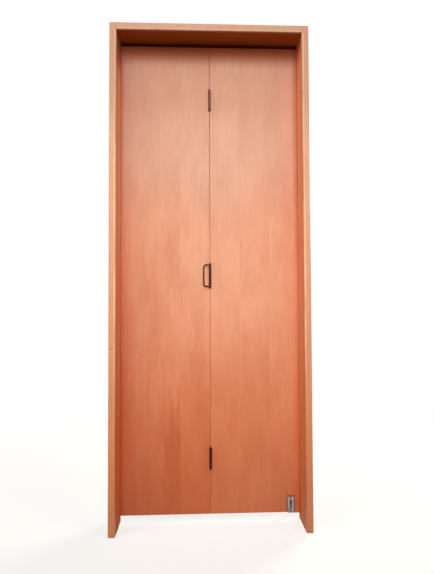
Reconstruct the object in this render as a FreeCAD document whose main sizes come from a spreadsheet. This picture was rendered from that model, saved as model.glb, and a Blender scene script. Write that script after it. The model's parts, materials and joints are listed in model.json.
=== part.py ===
import FreeCAD, Part
import os
import Sketcher

# A two-leaf folding flush door hung in its own wooden frame.
# Frame: origin at the bottom centre, +X to the right, +Y towards the folding side, +Z up.

# Driving sizes, in millimetres, degrees and counts.
SIZES = {
    # wooden frame
    "opening_width": 806,
    "jamb_thickness": 30,
    "head_thickness": 30,
    "frame_depth": 140,
    "frame_arris": 5,
    "housing_depth": 8,
    "frame_screw_diameter": 5,
    "frame_screw_head": 9.6,
    "frame_screw_bite": 38,
    "frame_screw_edge": 25,
    # hollow-core leaves
    "leaf_height": 2100,
    "leaf_thickness": 35,
    "floor_gap": 41,
    "meeting_gap": 0.5,
    "edge_gap": 1.2,
    "swing_clearance": 0.75,
    "pivot_inset": 45.8,
    "skin_thickness": 3,
    "stile_width": 35,
    "rail_height": 80,
    "batten_height": 20,
    "batten_count": 11,
    # butt hinges on the meeting edges
    "hinge_height": 89,
    "hinge_inset": 244.5,
    "middle_hinge_height": 1056,
    "flap_thickness": 2,
    "flap_width": 32,
    "barrel_diameter": 12,
    "barrel_clearance": 0.5,
    "knuckle_gap": 0.3,
    "hinge_pin_diameter": 6,
    "running_gap": 0.05,
    "hinge_screw_spacing": 33,
    "hinge_screw_edge": 8,
    "hinge_screw_stagger": 7,
    # turned finials on the hinge pins
    "finial_length": 7.5,
    "finial_collar": 1.6,
    "finial_set": 0.5,
    "finial_wall": 1.4,
    "finial_shoulder": 4,
    "finial_tip_diameter": 2.6,
    "finial_socket": 3.4,
    # countersunk wood screws
    "wood_screw_diameter": 4,
    "wood_screw_head": 8,
    "screw_cover": 10,
    "screw_play": 0.1,
    "recess_length": 4,
    "recess_width": 0.9,
    "recess_depth": 1.2,
    # bail pull on the middle hinge
    "bail_wire": 6.5,
    "bail_reach": 31.5,
    "bail_bend": 12,
    "bail_eye_diameter": 12,
    "bail_eye_gap": 0.2,
    "bail_swing": 25,
    # top track and guide roller
    "track_wall": 1.5,
    "track_end_gap": 1,
    "track_screw_diameter": 3.5,
    "track_screw_head": 7,
    "track_screw_head_height": 2,
    "track_screw_count": 4,
    "track_screw_margin": 50,
    "roller_diameter": 20,
    "roller_height": 6,
    "roller_side_gap": 0.5,
    "roller_end_gap": 0.2,
    "roller_lift": 1.5,
    "roller_headroom": 1,
    "roller_arris": 0.8,
    # pins let into the tops of the leaves
    "sleeve_diameter": 13,
    "sleeve_length": 40,
    "flange_diameter": 20,
    "flange_thickness": 1.5,
    "flange_clearance": 1.5,
    "top_pin_diameter": 8,
    "top_pin_headroom": 1,
    "pin_arris": 1,
    "guide_spindle_diameter": 6,
    "guide_collar_diameter": 10,
    "guide_head_diameter": 9,
    "guide_head_height": 1,
    # socket block in the track
    "socket_side_gap": 0.2,
    "socket_outer_length": 12,
    "socket_inner_length": 24,
    "socket_screw_offset": 14,
    "socket_screw_sink": 3,
    # slotted plate at the foot of the right leaf, and the pocket behind it
    "plate_thickness": 3,
    "plate_width": 31,
    "plate_height": 70,
    "plate_lift": 1,
    "plate_corner": 3,
    "plate_screw_inset": 6.5,
    "plate_screw_length": 14,
    "slot_width": 8,
    "slot_length": 40,
    "slot_centre": 34,
    "pocket_width": 18,
    "pocket_margin": 1,
    "pocket_back": 9,
    # shouldered bolt, clamped by a nut in the pocket
    "bolt_diameter": 8,
    "bolt_rise": 22,
    "bolt_collar_diameter": 14,
    "bolt_collar_gap": 0.2,
    "bolt_end_gap": 0.3,
    "nut_diameter": 15,
    "nut_height": 6.5,
    # bracket let into the right jamb, with the bush for the bolt
    "bracket_thickness": 5,
    "bracket_width": 18,
    "bracket_drop": 2.5,
    "bracket_toe": 11,
    "bracket_corner": 6,
    "upright_height": 60,
    "bracket_screw_inset": 10,
    "bracket_screw_spacing": 30,
    "bracket_screw_cover": 5,
    "bush_diameter": 13,
    "bush_floor": 1.2,
    "bush_flange_diameter": 17,
    "bush_flange_thickness": 1.2,
}

KNUCKLES = 5
RIGHT_KNUCKLES = (0, 2, 4)
LEFT_KNUCKLES = (1, 3)
RIGHT, LEFT = 1, -1
NUT_SIDES = 6
QUARTER_TURN = 90
HALF_TURN = 180

Vector = FreeCAD.Vector
DIRECTIONS = {
    "+x": (1, 0, 0),
    "-x": (-1, 0, 0),
    "+y": (0, 1, 0),
    "+z": (0, 0, 1),
}

doc = FreeCAD.newDocument("folding_flush_door")
sheet = doc.addObject("Spreadsheet::Sheet", "Sizes")
for row, (alias, value) in enumerate(SIZES.items(), start=1):
    sheet.set(f"A{row}", alias)
    sheet.set(f"B{row}", str(value))
    sheet.setAlias(f"B{row}", alias)
doc.recompute()


class Size:
    """A length or angle worked out from the sheet, held as an expression."""

    def __init__(self, text):
        self.text = text

    def __add__(self, other):
        return Size(f"({self.text} + {text_of(other)})")

    def __radd__(self, other):
        return Size(f"({text_of(other)} + {self.text})")

    def __sub__(self, other):
        return Size(f"({self.text} - {text_of(other)})")

    def __rsub__(self, other):
        return Size(f"({text_of(other)} - {self.text})")

    def __mul__(self, other):
        return Size(f"({self.text} * {text_of(other)})")

    __rmul__ = __mul__

    def __truediv__(self, other):
        return Size(f"({self.text} / {text_of(other)})")

    def __neg__(self):
        return Size(f"(-1 * {self.text})")


def text_of(size):
    """The expression text of a size, or of a plain number."""
    return size.text if isinstance(size, Size) else str(size)


def cell(alias):
    """The size that the sheet keeps under this name."""
    return Size(f"Sizes.{alias}")


def number(size):
    """What a size comes to at present."""
    return float(sheet.evalExpression(text_of(size)))


def root(size):
    """The square root of a size."""
    return Size(f"sqrt({size.text})")


# Sizes that follow from the driving ones.
nothing = Size("0")
half_opening = cell("opening_width") / 2
half_depth = cell("frame_depth") / 2
play = cell("screw_play")
running = cell("running_gap")

leaf_front = half_depth - cell("leaf_thickness")
leaf_back = half_depth
leaf_middle = half_depth - cell("leaf_thickness") / 2
leaf_bottom = cell("floor_gap")
leaf_top = leaf_bottom + cell("leaf_height")
core_front = leaf_front + cell("skin_thickness")
core_back = leaf_back - cell("skin_thickness")

meeting_edge = cell("meeting_gap") / 2
outer_edge = half_opening - cell("edge_gap")
pivot_x = outer_edge - cell("pivot_inset")
# The back corner of a leaf swings towards the jamb, so the outer edge slopes back to this radius there.
swing_radius = cell("pivot_inset") + cell("edge_gap") - cell("swing_clearance")
edge_slope = cell("pivot_inset") - root(
    swing_radius * swing_radius - cell("leaf_thickness") * cell("leaf_thickness") / 4
)

track_inside_width = cell("roller_diameter") + 2 * cell("roller_side_gap")
track_width = track_inside_width + 2 * cell("track_wall")
track_inside_height = (
    cell("roller_lift") + cell("roller_height") + cell("roller_headroom") + cell("track_screw_head_height")
)
track_height = track_inside_height + cell("track_wall")
flange_top = leaf_top + cell("flange_thickness")
track_bottom = flange_top + cell("flange_clearance")
track_ceiling = track_bottom + track_inside_height
soffit = track_bottom + track_height
frame_top = soffit + cell("head_thickness")
roller_bottom = track_bottom + cell("roller_lift")
roller_top = roller_bottom + cell("roller_height")

barrel_radius = cell("barrel_diameter") / 2
hinge_pin_radius = cell("hinge_pin_diameter") / 2
hinge_axis = leaf_front - cell("barrel_clearance") - barrel_radius
flap_back = hinge_axis + cell("flap_width")
half_hinge = cell("hinge_height") / 2
eye_height = cell("bail_wire")
eye_room = eye_height + 2 * cell("bail_eye_gap")
hinge_heights = {
    "upper": leaf_top - cell("hinge_inset"),
    "middle": leaf_bottom + cell("middle_hinge_height"),
    "lower": leaf_bottom + cell("hinge_inset"),
}
# Room at each end of a barrel for what hangs on its pin.
end_rooms = {"upper": nothing, "middle": eye_room, "lower": nothing}

top_pin_radius = cell("top_pin_diameter") / 2
sleeve_bottom = leaf_top - cell("sleeve_length")
bolt_radius = cell("bolt_diameter") / 2
plate_front = leaf_front - cell("plate_thickness")
plate_bottom = leaf_bottom + cell("plate_lift")
plate_top = plate_bottom + cell("plate_height")
slot_height = leaf_bottom + cell("slot_centre")
pocket_room = cell("slot_length") + 2 * cell("pocket_margin")
pocket_floor = slot_height - pocket_room / 2
arm_top = leaf_bottom - cell("bracket_drop")
arm_bottom = arm_top - cell("bracket_thickness")
upright_top = arm_bottom + cell("upright_height")
bush_top = arm_top + cell("bush_flange_thickness")

finished = []


def finish(piece, node):
    """Name a finished sub-part and keep it for writing."""
    piece.Label = node
    finished.append(piece)
    return piece


def bind(piece, **sizes):
    """Tie the properties of a piece to sizes."""
    for path, size in sizes.items():
        piece.setExpression(path, text_of(size))


def place(piece, point):
    """Tie the position of a piece to three sizes."""
    for letter, size in zip("xyz", point):
        piece.setExpression(f"Placement.Base.{letter}", text_of(size))


def aim(piece, start, axis):
    """Stand a round piece on its start point, pointing along an axis."""
    turn = FreeCAD.Rotation(Vector(0, 0, 1), Vector(*DIRECTIONS[axis]))
    piece.Placement = FreeCAD.Placement(Vector(0, 0, 0), turn)
    place(piece, start)


def along(point, axis, distance):
    """The point reached from another by going along an axis."""
    return tuple(at if step == 0 else at + step * distance for at, step in zip(point, DIRECTIONS[axis]))


def across(side, near, far):
    """The low and high x of a stretch on the right side, or mirrored on the left."""
    return (near, far) if side == RIGHT else (-far, -near)


def around(centre, width):
    """The low and high of a stretch about its centre."""
    return (centre - width / 2, centre + width / 2)


def block(name, x, y, z):
    """A rectangular block between a low and a high plane on each axis."""
    piece = doc.addObject("Part::Box", name)
    bind(piece, Length=x[1] - x[0], Width=y[1] - y[0], Height=z[1] - z[0])
    place(piece, (x[0], y[0], z[0]))
    return piece


def rod(name, radius, start, axis, length):
    """A round bar from a start point along an axis."""
    piece = doc.addObject("Part::Cylinder", name)
    aim(piece, start, axis)
    bind(piece, Radius=radius, Height=length)
    return piece


def taper(name, radii, start, axis, length):
    """A cone from one radius to another along an axis."""
    piece = doc.addObject("Part::Cone", name)
    aim(piece, start, axis)
    bind(piece, Radius1=radii[0], Radius2=radii[1], Height=length)
    return piece


def joined(name, pieces):
    """Several overlapping pieces made one."""
    whole = doc.addObject("Part::MultiFuse", name)
    whole.Shapes = pieces
    return whole


def without(name, base, tools):
    """A piece with other shapes cut out of it."""
    rest = doc.addObject("Part::Cut", name)
    rest.Base = base
    rest.Tool = tools[0] if len(tools) == 1 else joined(f"{name}_tools", tools)
    return rest


def grouped(name, pieces):
    """Separate solids that share one node."""
    group = doc.addObject("Part::Compound", name)
    group.Links = pieces
    return group


def outline(body, plane_role, corners):
    """A closed sketch on one of the body's planes, each corner measured from its origin."""
    sketch = body.newObject("Sketcher::SketchObject", f"{body.Name}_outline")
    plane = next(item for item in body.Origin.OriginFeatures if item.Role == plane_role)
    sketch.AttachmentSupport = [(plane, "")]
    sketch.MapMode = "FlatFace"
    points = [Vector(number(across_size), number(up_size), 0) for across_size, up_size in corners]
    count = len(points)
    for index, point in enumerate(points):
        sketch.addGeometry(Part.LineSegment(point, points[(index + 1) % count]), False)
    for index in range(count):
        sketch.addConstraint(Sketcher.Constraint("Coincident", index, 2, (index + 1) % count, 1))
    for index, point in enumerate(points):
        for kind, at, size in (
            ("DistanceX", point.x, corners[index][0]),
            ("DistanceY", point.y, corners[index][1]),
        ):
            constraint = sketch.addConstraint(Sketcher.Constraint(kind, -1, 1, index, 1, at))
            sketch.setExpression(f"Constraints[{constraint}]", text_of(size))
    return sketch


def extruded(name, plane_role, corners, length, point):
    """A body padded from an outline; returns the body and its pad."""
    body = doc.addObject("PartDesign::Body", name)
    pad = body.newObject("PartDesign::Pad", f"{name}_pad")
    pad.Profile = outline(body, plane_role, corners)
    bind(pad, Length=length)
    place(body, point)
    return body, pad


def turned(name, profile, foot):
    """A round body: (radius, height) corners spun about an upright axis."""
    body = doc.addObject("PartDesign::Body", name)
    sketch = outline(body, "XZ_Plane", profile)
    spin = body.newObject("PartDesign::Revolution", f"{name}_spin")
    spin.Profile = sketch
    spin.ReferenceAxis = (sketch, ["V_Axis"])
    place(body, foot)
    return body


def eased(body, base, radius, wanted):
    """Round the edges of a body's feature that the test picks out."""
    doc.recompute()
    names = [f"Edge{order}" for order, edge in enumerate(base.Shape.Edges, start=1) if wanted(edge)]
    rounding = body.newObject("PartDesign::Fillet", f"{body.Name}_eased")
    rounding.Base = (base, names)
    bind(rounding, Radius=radius)


def cross_recess(name, centre, axis):
    """The cross that a driver fits, centred on the top of a screw's head."""
    long_way = (cell("recess_length"), cell("recess_width"))
    blades = []
    for spans in (list(long_way), list(reversed(long_way))):
        spans.insert("xyz".index(axis[1]), 2 * cell("recess_depth"))
        stretches = [around(at, span) for at, span in zip(centre, spans)]
        blades.append(block(f"{name}_blade", *stretches))
    return joined(f"{name}_cross", blades)


def sunk_screw(name, start, axis, length, shank, head):
    """A countersunk screw, flush at its start point; returns it and the hole it needs."""
    shapes = []
    for kind, spare in (("blank", 0), ("hole", play)):
        stem = rod(f"{name}_{kind}_stem", shank + spare, start, axis, length)
        cone = taper(f"{name}_{kind}_cone", (head + spare, shank + spare), start, axis, head - shank)
        shapes.append(joined(f"{name}_{kind}", [stem, cone]))
    blank, hole = shapes
    return without(name, blank, [cross_recess(name, start, axis)]), hole


def pan_screw(name, seat, length):
    """An upright pan-head screw whose head bears on its seat from below; returns it and its hole."""
    shank = cell("track_screw_diameter") / 2
    under_head = along(seat, "+z", -cell("track_screw_head_height"))
    stem = rod(f"{name}_stem", shank, seat, "+z", length)
    head = cell("track_screw_head") / 2
    pan = rod(f"{name}_pan", head, under_head, "+z", cell("track_screw_head_height"))
    screw = without(name, joined(f"{name}_blank", [stem, pan]), [cross_recess(name, under_head, "+z")])
    return screw, rod(f"{name}_hole", shank + play, seat, "+z", length)


def wood_screw(name, start, axis, length):
    """One of the screws that hold the metal fittings."""
    shank = cell("wood_screw_diameter") / 2
    return sunk_screw(name, start, axis, length, shank, cell("wood_screw_head") / 2)


# The wooden frame


def frame_screws(side):
    """Screws through a jamb into the end of the head."""
    outside = side * (half_opening + cell("jamb_thickness"))
    height = soffit + cell("head_thickness") / 2
    length = cell("jamb_thickness") - cell("housing_depth") + cell("frame_screw_bite")
    row = half_depth - cell("frame_screw_edge")
    return [
        sunk_screw(
            "frame_screw",
            (outside, depth, height),
            "-x" if side == RIGHT else "+x",
            length,
            cell("frame_screw_diameter") / 2,
            cell("frame_screw_head") / 2,
        )
        for depth in (-row, nothing, row)
    ]


def jamb(side, node, holes):
    """A full-height side post, eased at the front and housed for the head."""
    width = side * cell("jamb_thickness")
    corners = [(0, -half_depth), (width, -half_depth), (width, half_depth), (0, half_depth)]
    post, pad = extruded(f"{node}_post", "XY_Plane", corners, frame_top, (side * half_opening, 0, 0))
    eased(
        post,
        pad,
        cell("frame_arris"),
        lambda edge: edge.BoundBox.ZLength > edge.BoundBox.DiagonalLength / 2 and edge.CenterOfMass.y < 0,
    )
    housing = block(
        f"{node}_housing",
        across(side, half_opening, half_opening + cell("housing_depth")),
        (-half_depth, half_depth),
        (soffit, frame_top),
    )
    finish(without(node, post, [housing] + holes), node)


def head_jamb(holes):
    """The cross piece over the leaves, let into both posts."""
    reach = half_opening + cell("housing_depth")
    corners = [
        (-half_depth, soffit),
        (half_depth, soffit),
        (half_depth, frame_top),
        (-half_depth, frame_top),
    ]
    rail, pad = extruded("head_rail", "YZ_Plane", corners, 2 * reach, (-reach, 0, 0))
    middle = number(soffit + cell("head_thickness") / 2)
    eased(
        rail,
        pad,
        cell("frame_arris"),
        lambda edge: edge.BoundBox.XLength > edge.BoundBox.DiagonalLength / 2
        and edge.CenterOfMass.y < 0
        and edge.CenterOfMass.z < middle,
    )
    finish(without("head_jamb", rail, holes), "head_jamb")


# The top track and its fittings


def track_screws():
    """Screws that hold the track up, spread from its left end to the socket block."""
    first = cell("track_screw_margin") - half_opening
    last = pivot_x - cell("socket_inner_length") - cell("track_screw_margin")
    count = int(number(cell("track_screw_count")))
    length = cell("track_wall") + cell("head_thickness") - cell("screw_cover")
    step = (last - first) / (count - 1)
    return [
        pan_screw("track_screw", (first + step * order, leaf_middle, track_ceiling), length)
        for order in range(count)
    ]


def top_track(holes):
    """A channel, open below, under the head."""
    outer = around(leaf_middle, track_width)
    inner = around(leaf_middle, track_inside_width)
    corners = [
        (outer[0], track_bottom),
        (outer[0], soffit),
        (outer[1], soffit),
        (outer[1], track_bottom),
        (inner[1], track_bottom),
        (inner[1], track_ceiling),
        (inner[0], track_ceiling),
        (inner[0], track_bottom),
    ]
    reach = half_opening - cell("track_end_gap")
    channel, _ = extruded("track_channel", "YZ_Plane", corners, 2 * reach, (-reach, 0, 0))
    finish(without("top_track", channel, holes), "top_track")


def socket_screw():
    """The screw that clamps the socket block to the head."""
    seat = track_bottom + cell("socket_screw_sink")
    length = track_ceiling - seat + cell("track_wall") + cell("head_thickness") - cell("screw_cover")
    return pan_screw("top_socket_screw", (pivot_x - cell("socket_screw_offset"), leaf_middle, seat), length)


def top_socket(screw_hole):
    """The block in the track that the right leaf's top pin turns in."""
    body = block(
        "socket_block",
        (pivot_x - cell("socket_inner_length"), pivot_x + cell("socket_outer_length")),
        around(leaf_middle, track_inside_width - 2 * cell("socket_side_gap")),
        (track_bottom, track_ceiling),
    )
    floor = (pivot_x, leaf_middle, track_bottom)
    pin_hole = rod("socket_pin_hole", top_pin_radius + running, floor, "+z", track_inside_height)
    sink = rod(
        "socket_screw_sink",
        cell("track_screw_head") / 2 + play,
        along(floor, "-x", cell("socket_screw_offset")),
        "+z",
        cell("socket_screw_sink"),
    )
    finish(without("top_socket", body, [pin_hole, sink, screw_hole]), "top_socket")


def sleeve(side, node):
    """A flanged sleeve in the top of a leaf; returns the hole it needs."""
    foot = (side * pivot_x, leaf_middle, sleeve_bottom)
    bore = top_pin_radius + running
    tube = cell("sleeve_diameter") / 2
    rim = cell("flange_diameter") / 2
    length = cell("sleeve_length")
    top = length + cell("flange_thickness")
    profile = [(bore, 0), (tube, 0), (tube, length), (rim, length), (rim, top), (bore, top)]
    finish(turned(node, profile, foot), node)
    return rod(f"{node}_hole", tube + play, foot, "+z", length)


def top_pivot_pin():
    """The pin that the right leaf turns on, from its sleeve into the socket block."""
    top = track_ceiling - cell("top_pin_headroom") - sleeve_bottom
    tip = top_pin_radius - cell("pin_arris")
    profile = [(0, 0), (top_pin_radius, 0), (top_pin_radius, top - cell("pin_arris")), (tip, top), (0, top)]
    finish(turned("top_pivot_pin", profile, (pivot_x, leaf_middle, sleeve_bottom)), "top_pivot_pin")


def guide_pin():
    """The left leaf's pin, with a collar under the roller and a head riveted over it."""
    collar = cell("guide_collar_diameter") / 2
    spindle = cell("guide_spindle_diameter") / 2
    head = cell("guide_head_diameter") / 2
    collar_foot = flange_top - sleeve_bottom
    collar_top = roller_bottom - cell("roller_end_gap") - sleeve_bottom
    head_top = roller_top - sleeve_bottom
    head_foot = head_top - cell("guide_head_height")
    profile = [
        (0, 0),
        (top_pin_radius, 0),
        (top_pin_radius, collar_foot),
        (collar, collar_foot),
        (collar, collar_top),
        (spindle, collar_top),
        (spindle, head_foot),
        (head, head_foot),
        (head, head_top),
        (0, head_top),
    ]
    finish(turned("guide_pin", profile, (-pivot_x, leaf_middle, sleeve_bottom)), "guide_pin")


def guide_roller():
    """The wheel that runs in the track, sunk on top for the pin's head."""
    bore = cell("guide_spindle_diameter") / 2 + running
    rim = cell("roller_diameter") / 2
    arris = cell("roller_arris")
    height = cell("roller_height")
    sink = cell("guide_head_diameter") / 2 + cell("roller_end_gap")
    sink_floor = height - cell("guide_head_height") - cell("roller_end_gap")
    profile = [
        (bore, 0),
        (rim - arris, 0),
        (rim, arris),
        (rim, height - arris),
        (rim - arris, height),
        (sink, height),
        (sink, sink_floor),
        (bore, sink_floor),
    ]
    finish(turned("guide_roller", profile, (-pivot_x, leaf_middle, roller_bottom)), "guide_roller")


# The hinges between the leaves


def hinge_screws(side, height):
    """The staggered screws of one hinge flap."""
    back_row = flap_back - cell("hinge_screw_edge")
    rows = (
        (back_row, height - cell("hinge_screw_spacing")),
        (back_row - cell("hinge_screw_stagger"), height),
        (back_row, height + cell("hinge_screw_spacing")),
    )
    axis = "+x" if side == RIGHT else "-x"
    length = cell("stile_width") - cell("screw_cover")
    return [wood_screw("hinge_screw", (side * meeting_edge, depth, up), axis, length) for depth, up in rows]


def mortise(side, height):
    """The shallow recess in a meeting edge that takes one hinge flap."""
    return block(
        "mortise",
        across(side, 0, meeting_edge + cell("flap_thickness")),
        (hinge_axis, flap_back),
        around(height, cell("hinge_height")),
    )


def flap(side, node, height, knuckles, holes):
    """One half of a hinge: its plate and its share of the knuckles."""
    thickness = across(side, meeting_edge, meeting_edge + cell("flap_thickness"))
    plate_start = hinge_axis + barrel_radius + cell("knuckle_gap")
    plate_height = around(height, cell("hinge_height"))
    pieces = [block(f"{node}_plate", thickness, (plate_start, flap_back), plate_height)]
    foot = height - half_hinge
    pitch = cell("hinge_height") / KNUCKLES
    for order in knuckles:
        low = foot + pitch * order + cell("knuckle_gap") / 2
        high = foot + pitch * (order + 1) - cell("knuckle_gap") / 2
        web_end = plate_start + cell("knuckle_gap")
        pieces.append(block(f"{node}_web", thickness, (hinge_axis, web_end), (low, high)))
        pieces.append(rod(f"{node}_knuckle", barrel_radius, (0, hinge_axis, low), "+z", high - low))
    pin_room = hinge_pin_radius + running
    bore = rod(f"{node}_bore", pin_room, (0, hinge_axis, foot), "+z", cell("hinge_height"))
    finish(without(node, joined(f"{node}_blank", pieces), [bore] + holes), node)


def finial_profile(start, direction):
    """The turned outline of a finial from its collar to its tip, going up or down."""
    collar = barrel_radius - cell("finial_set")
    cup = hinge_pin_radius + running + cell("finial_wall")
    tip = cell("finial_tip_diameter") / 2
    steps = (
        (collar, nothing),
        (collar, cell("finial_collar")),
        (cup, cell("finial_collar")),
        (cup, cell("finial_shoulder")),
        (tip, cell("finial_length")),
        (0, cell("finial_length")),
    )
    return [(radius, start + direction * rise) for radius, rise in steps]


def hinge_pin(level):
    """A hinge pin with its top finial, long enough to screw into the tip below."""
    foot = hinge_heights[level] - half_hinge - end_rooms[level] - cell("finial_socket")
    stem = cell("finial_socket") + cell("hinge_height") + 2 * end_rooms[level]
    profile = [(0, 0), (hinge_pin_radius, 0), (hinge_pin_radius, stem)] + finial_profile(stem, 1)
    node = f"{level}_hinge_pin"
    finish(turned(node, profile, (0, hinge_axis, foot)), node)


def hinge_tip(level):
    """The finial that screws on to the lower end of a hinge pin."""
    bore = hinge_pin_radius + running
    socket = -cell("finial_socket")
    profile = [(bore, 0)] + finial_profile(nothing, -1) + [(0, socket), (bore, socket)]
    top = hinge_heights[level] - half_hinge - end_rooms[level]
    return turned(f"{level}_hinge_tip", profile, (0, hinge_axis, top))


def bail_handle():
    """A bent wire pull whose two eyes turn on the middle hinge pin."""
    wire = cell("bail_wire") / 2
    bend = cell("bail_bend")
    reach = cell("bail_reach")
    bore = hinge_pin_radius + running
    eye = cell("bail_eye_diameter") / 2
    arm_height = half_hinge + cell("bail_eye_gap") + eye_height / 2
    arm_start = (bore + eye) / 2
    straight = arm_height - bend
    pieces = [rod("bail_bar", wire, (reach, 0, -straight), "+z", 2 * straight)]
    for up in (1, -1):
        arm_foot = (arm_start, 0, up * arm_height)
        pieces.append(rod("bail_arm", wire, arm_foot, "+x", reach - bend - arm_start))
        pieces.append(rod("bail_eye", eye, (0, 0, up * arm_height - eye_height / 2), "+z", eye_height))
        corner = doc.addObject("Part::Torus", "bail_corner")
        corner.Angle3 = QUARTER_TURN
        turn = FreeCAD.Rotation(Vector(1, 0, 0), up * QUARTER_TURN)
        corner.Placement = FreeCAD.Placement(Vector(0, 0, 0), turn)
        bind(corner, Radius1=bend, Radius2=wire)
        place(corner, (reach - bend, 0, up * straight))
        pieces.append(corner)
    hole = rod("bail_bore", bore, (0, 0, -arm_height - eye_height), "+z", 2 * (arm_height + eye_height))
    bail = without("bail_handle", joined("bail_blank", pieces), [hole])
    place(bail, (0, hinge_axis, hinge_heights["middle"]))
    bail.setExpression("Placement.Rotation.Angle", text_of(HALF_TURN + cell("bail_swing")))
    finish(bail, "bail_handle")


# The leaves


def edge_bevel(side):
    """The wedge planed off a leaf's outer edge, so that its back corner swings clear of the jamb."""
    beyond = outer_edge + cell("edge_gap")
    corners = [
        (side * outer_edge, leaf_front),
        (side * beyond, leaf_front),
        (side * beyond, leaf_back),
        (side * (outer_edge - edge_slope), leaf_back),
    ]
    wedge, _ = extruded("edge_bevel", "XY_Plane", corners, cell("leaf_height"), (0, 0, leaf_bottom))
    return wedge


def leaf(side, prefix, face_holes, edge_holes, foot_holes, top_hole):
    """A hollow-core leaf: two skins on stiles, rails and core battens."""
    height = (leaf_bottom, leaf_top)
    core = (core_front, core_back)
    inner_near = meeting_edge + cell("stile_width")
    inner_far = outer_edge - cell("stile_width")
    mortises = [mortise(side, level) for level in hinge_heights.values()]
    bevel = edge_bevel(side)

    def wood(name, near, far, depth, up, cuts):
        """One board of the leaf, with what is cut out of it."""
        node = f"{prefix}_{name}"
        if not cuts:
            return finish(block(node, across(side, near, far), depth, up), node)
        board = block(f"{node}_board", across(side, near, far), depth, up)
        return finish(without(node, board, cuts), node)

    face = (leaf_front, core_front)
    back = (core_back, leaf_back)
    wood("front_skin", meeting_edge, outer_edge, face, height, [bevel] + mortises + face_holes)
    wood("back_skin", meeting_edge, outer_edge, back, height, [bevel])
    wood("meeting_stile", meeting_edge, inner_near, core, height, mortises + edge_holes)
    wood("outer_stile", inner_far, outer_edge, core, height, [bevel, top_hole] + foot_holes + face_holes)
    wood("top_rail", inner_near, inner_far, core, (leaf_top - cell("rail_height"), leaf_top), [top_hole])
    foot = (leaf_bottom, leaf_bottom + cell("rail_height"))
    wood("bottom_rail", inner_near, inner_far, core, foot, foot_holes + face_holes)

    count = int(number(cell("batten_count")))
    space = cell("leaf_height") - 2 * cell("rail_height")
    battens = [
        block(
            f"{prefix}_batten",
            across(side, inner_near, inner_far),
            core,
            around(foot[1] + space * (order + 1) / (count + 1), cell("batten_height")),
        )
        for order in range(count)
    ]
    node = f"{prefix}_core_battens"
    finish(grouped(node, battens), node)


# The bottom pivot


def pivot_plate_screws():
    """The two screws that hold the slotted plate to the face of the leaf."""
    inset = cell("plate_screw_inset")
    length = cell("plate_screw_length")
    return [
        wood_screw("pivot_plate_screw", (pivot_x, plate_front, up), "+y", length)
        for up in (plate_bottom + inset, plate_top - inset)
    ]


def pocket():
    """The pocket behind the slot, where a key reaches the bolt's nut."""
    return block(
        "pocket",
        around(pivot_x, cell("pocket_width")),
        (leaf_front, leaf_middle + cell("pocket_back")),
        (pocket_floor, pocket_floor + pocket_room),
    )


def bolt_hole():
    """The hole for the pivot bolt, from the foot of the leaf up into the pocket."""
    foot = (pivot_x, leaf_middle, leaf_bottom)
    return rod("bolt_hole", bolt_radius + play, foot, "+z", pocket_floor - leaf_bottom)


def pivot_plate(holes):
    """A slotted plate on the face of the right leaf, over the pocket."""
    corners = [
        (plate_front, plate_bottom),
        (leaf_front, plate_bottom),
        (leaf_front, plate_top),
        (plate_front, plate_top),
    ]
    start = (pivot_x - cell("plate_width") / 2, 0, 0)
    flat, pad = extruded("pivot_flat", "YZ_Plane", corners, cell("plate_width"), start)
    eased(
        flat,
        pad,
        cell("plate_corner"),
        lambda edge: edge.BoundBox.YLength > edge.BoundBox.DiagonalLength / 2,
    )
    half_width = cell("slot_width") / 2
    half_run = cell("slot_length") / 2 - half_width
    through = cell("plate_thickness")
    slot = [
        rod("slot_end", half_width, (pivot_x, plate_front, slot_height - half_run), "+y", through),
        rod("slot_end", half_width, (pivot_x, plate_front, slot_height + half_run), "+y", through),
        block(
            "slot_run",
            around(pivot_x, cell("slot_width")),
            (plate_front, leaf_front),
            around(slot_height, 2 * half_run),
        ),
    ]
    finish(without("pivot_plate", flat, slot + holes), "pivot_plate")


def pivot_bolt():
    """The shouldered bolt that stands in the bush and carries the right leaf."""
    foot = arm_bottom + cell("bush_floor") + cell("bolt_end_gap")
    arris = cell("pin_arris")
    collar = cell("bolt_collar_diameter") / 2
    collar_foot = bush_top + cell("bolt_collar_gap") - foot
    collar_top = leaf_bottom - foot
    top = pocket_floor + cell("bolt_rise") - foot
    profile = [
        (0, 0),
        (bolt_radius - arris, 0),
        (bolt_radius, arris),
        (bolt_radius, collar_foot),
        (collar, collar_foot),
        (collar, collar_top),
        (bolt_radius, collar_top),
        (bolt_radius, top - arris),
        (bolt_radius - arris, top),
        (0, top),
    ]
    finish(turned("pivot_bolt", profile, (pivot_x, leaf_middle, foot)), "pivot_bolt")


def pivot_nut():
    """The nut that clamps the bolt, on the floor of the pocket."""
    seat = (pivot_x, leaf_middle, pocket_floor)
    blank = doc.addObject("Part::Prism", "nut_blank")
    blank.Polygon = NUT_SIDES
    bind(blank, Circumradius=cell("nut_diameter") / 2, Height=cell("nut_height"))
    place(blank, seat)
    hole = rod("nut_hole", bolt_radius + play, seat, "+z", cell("nut_height"))
    finish(without("pivot_nut", blank, [hole]), "pivot_nut")


def bracket_screws():
    """The screws that hold the bracket's upright in the right jamb."""
    length = cell("jamb_thickness") - cell("bracket_screw_cover")
    upper = upright_top - cell("bracket_screw_inset")
    return [
        wood_screw("bracket_screw", (half_opening, leaf_middle, height), "+x", length)
        for height in (upper - cell("bracket_screw_spacing"), upper)
    ]


def bracket_recess():
    """The recess in the right jamb that the bracket's upright lies flush in."""
    return block(
        "bracket_recess",
        (half_opening, half_opening + cell("bracket_thickness")),
        around(leaf_middle, cell("bracket_width")),
        (arm_bottom, upright_top),
    )


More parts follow.
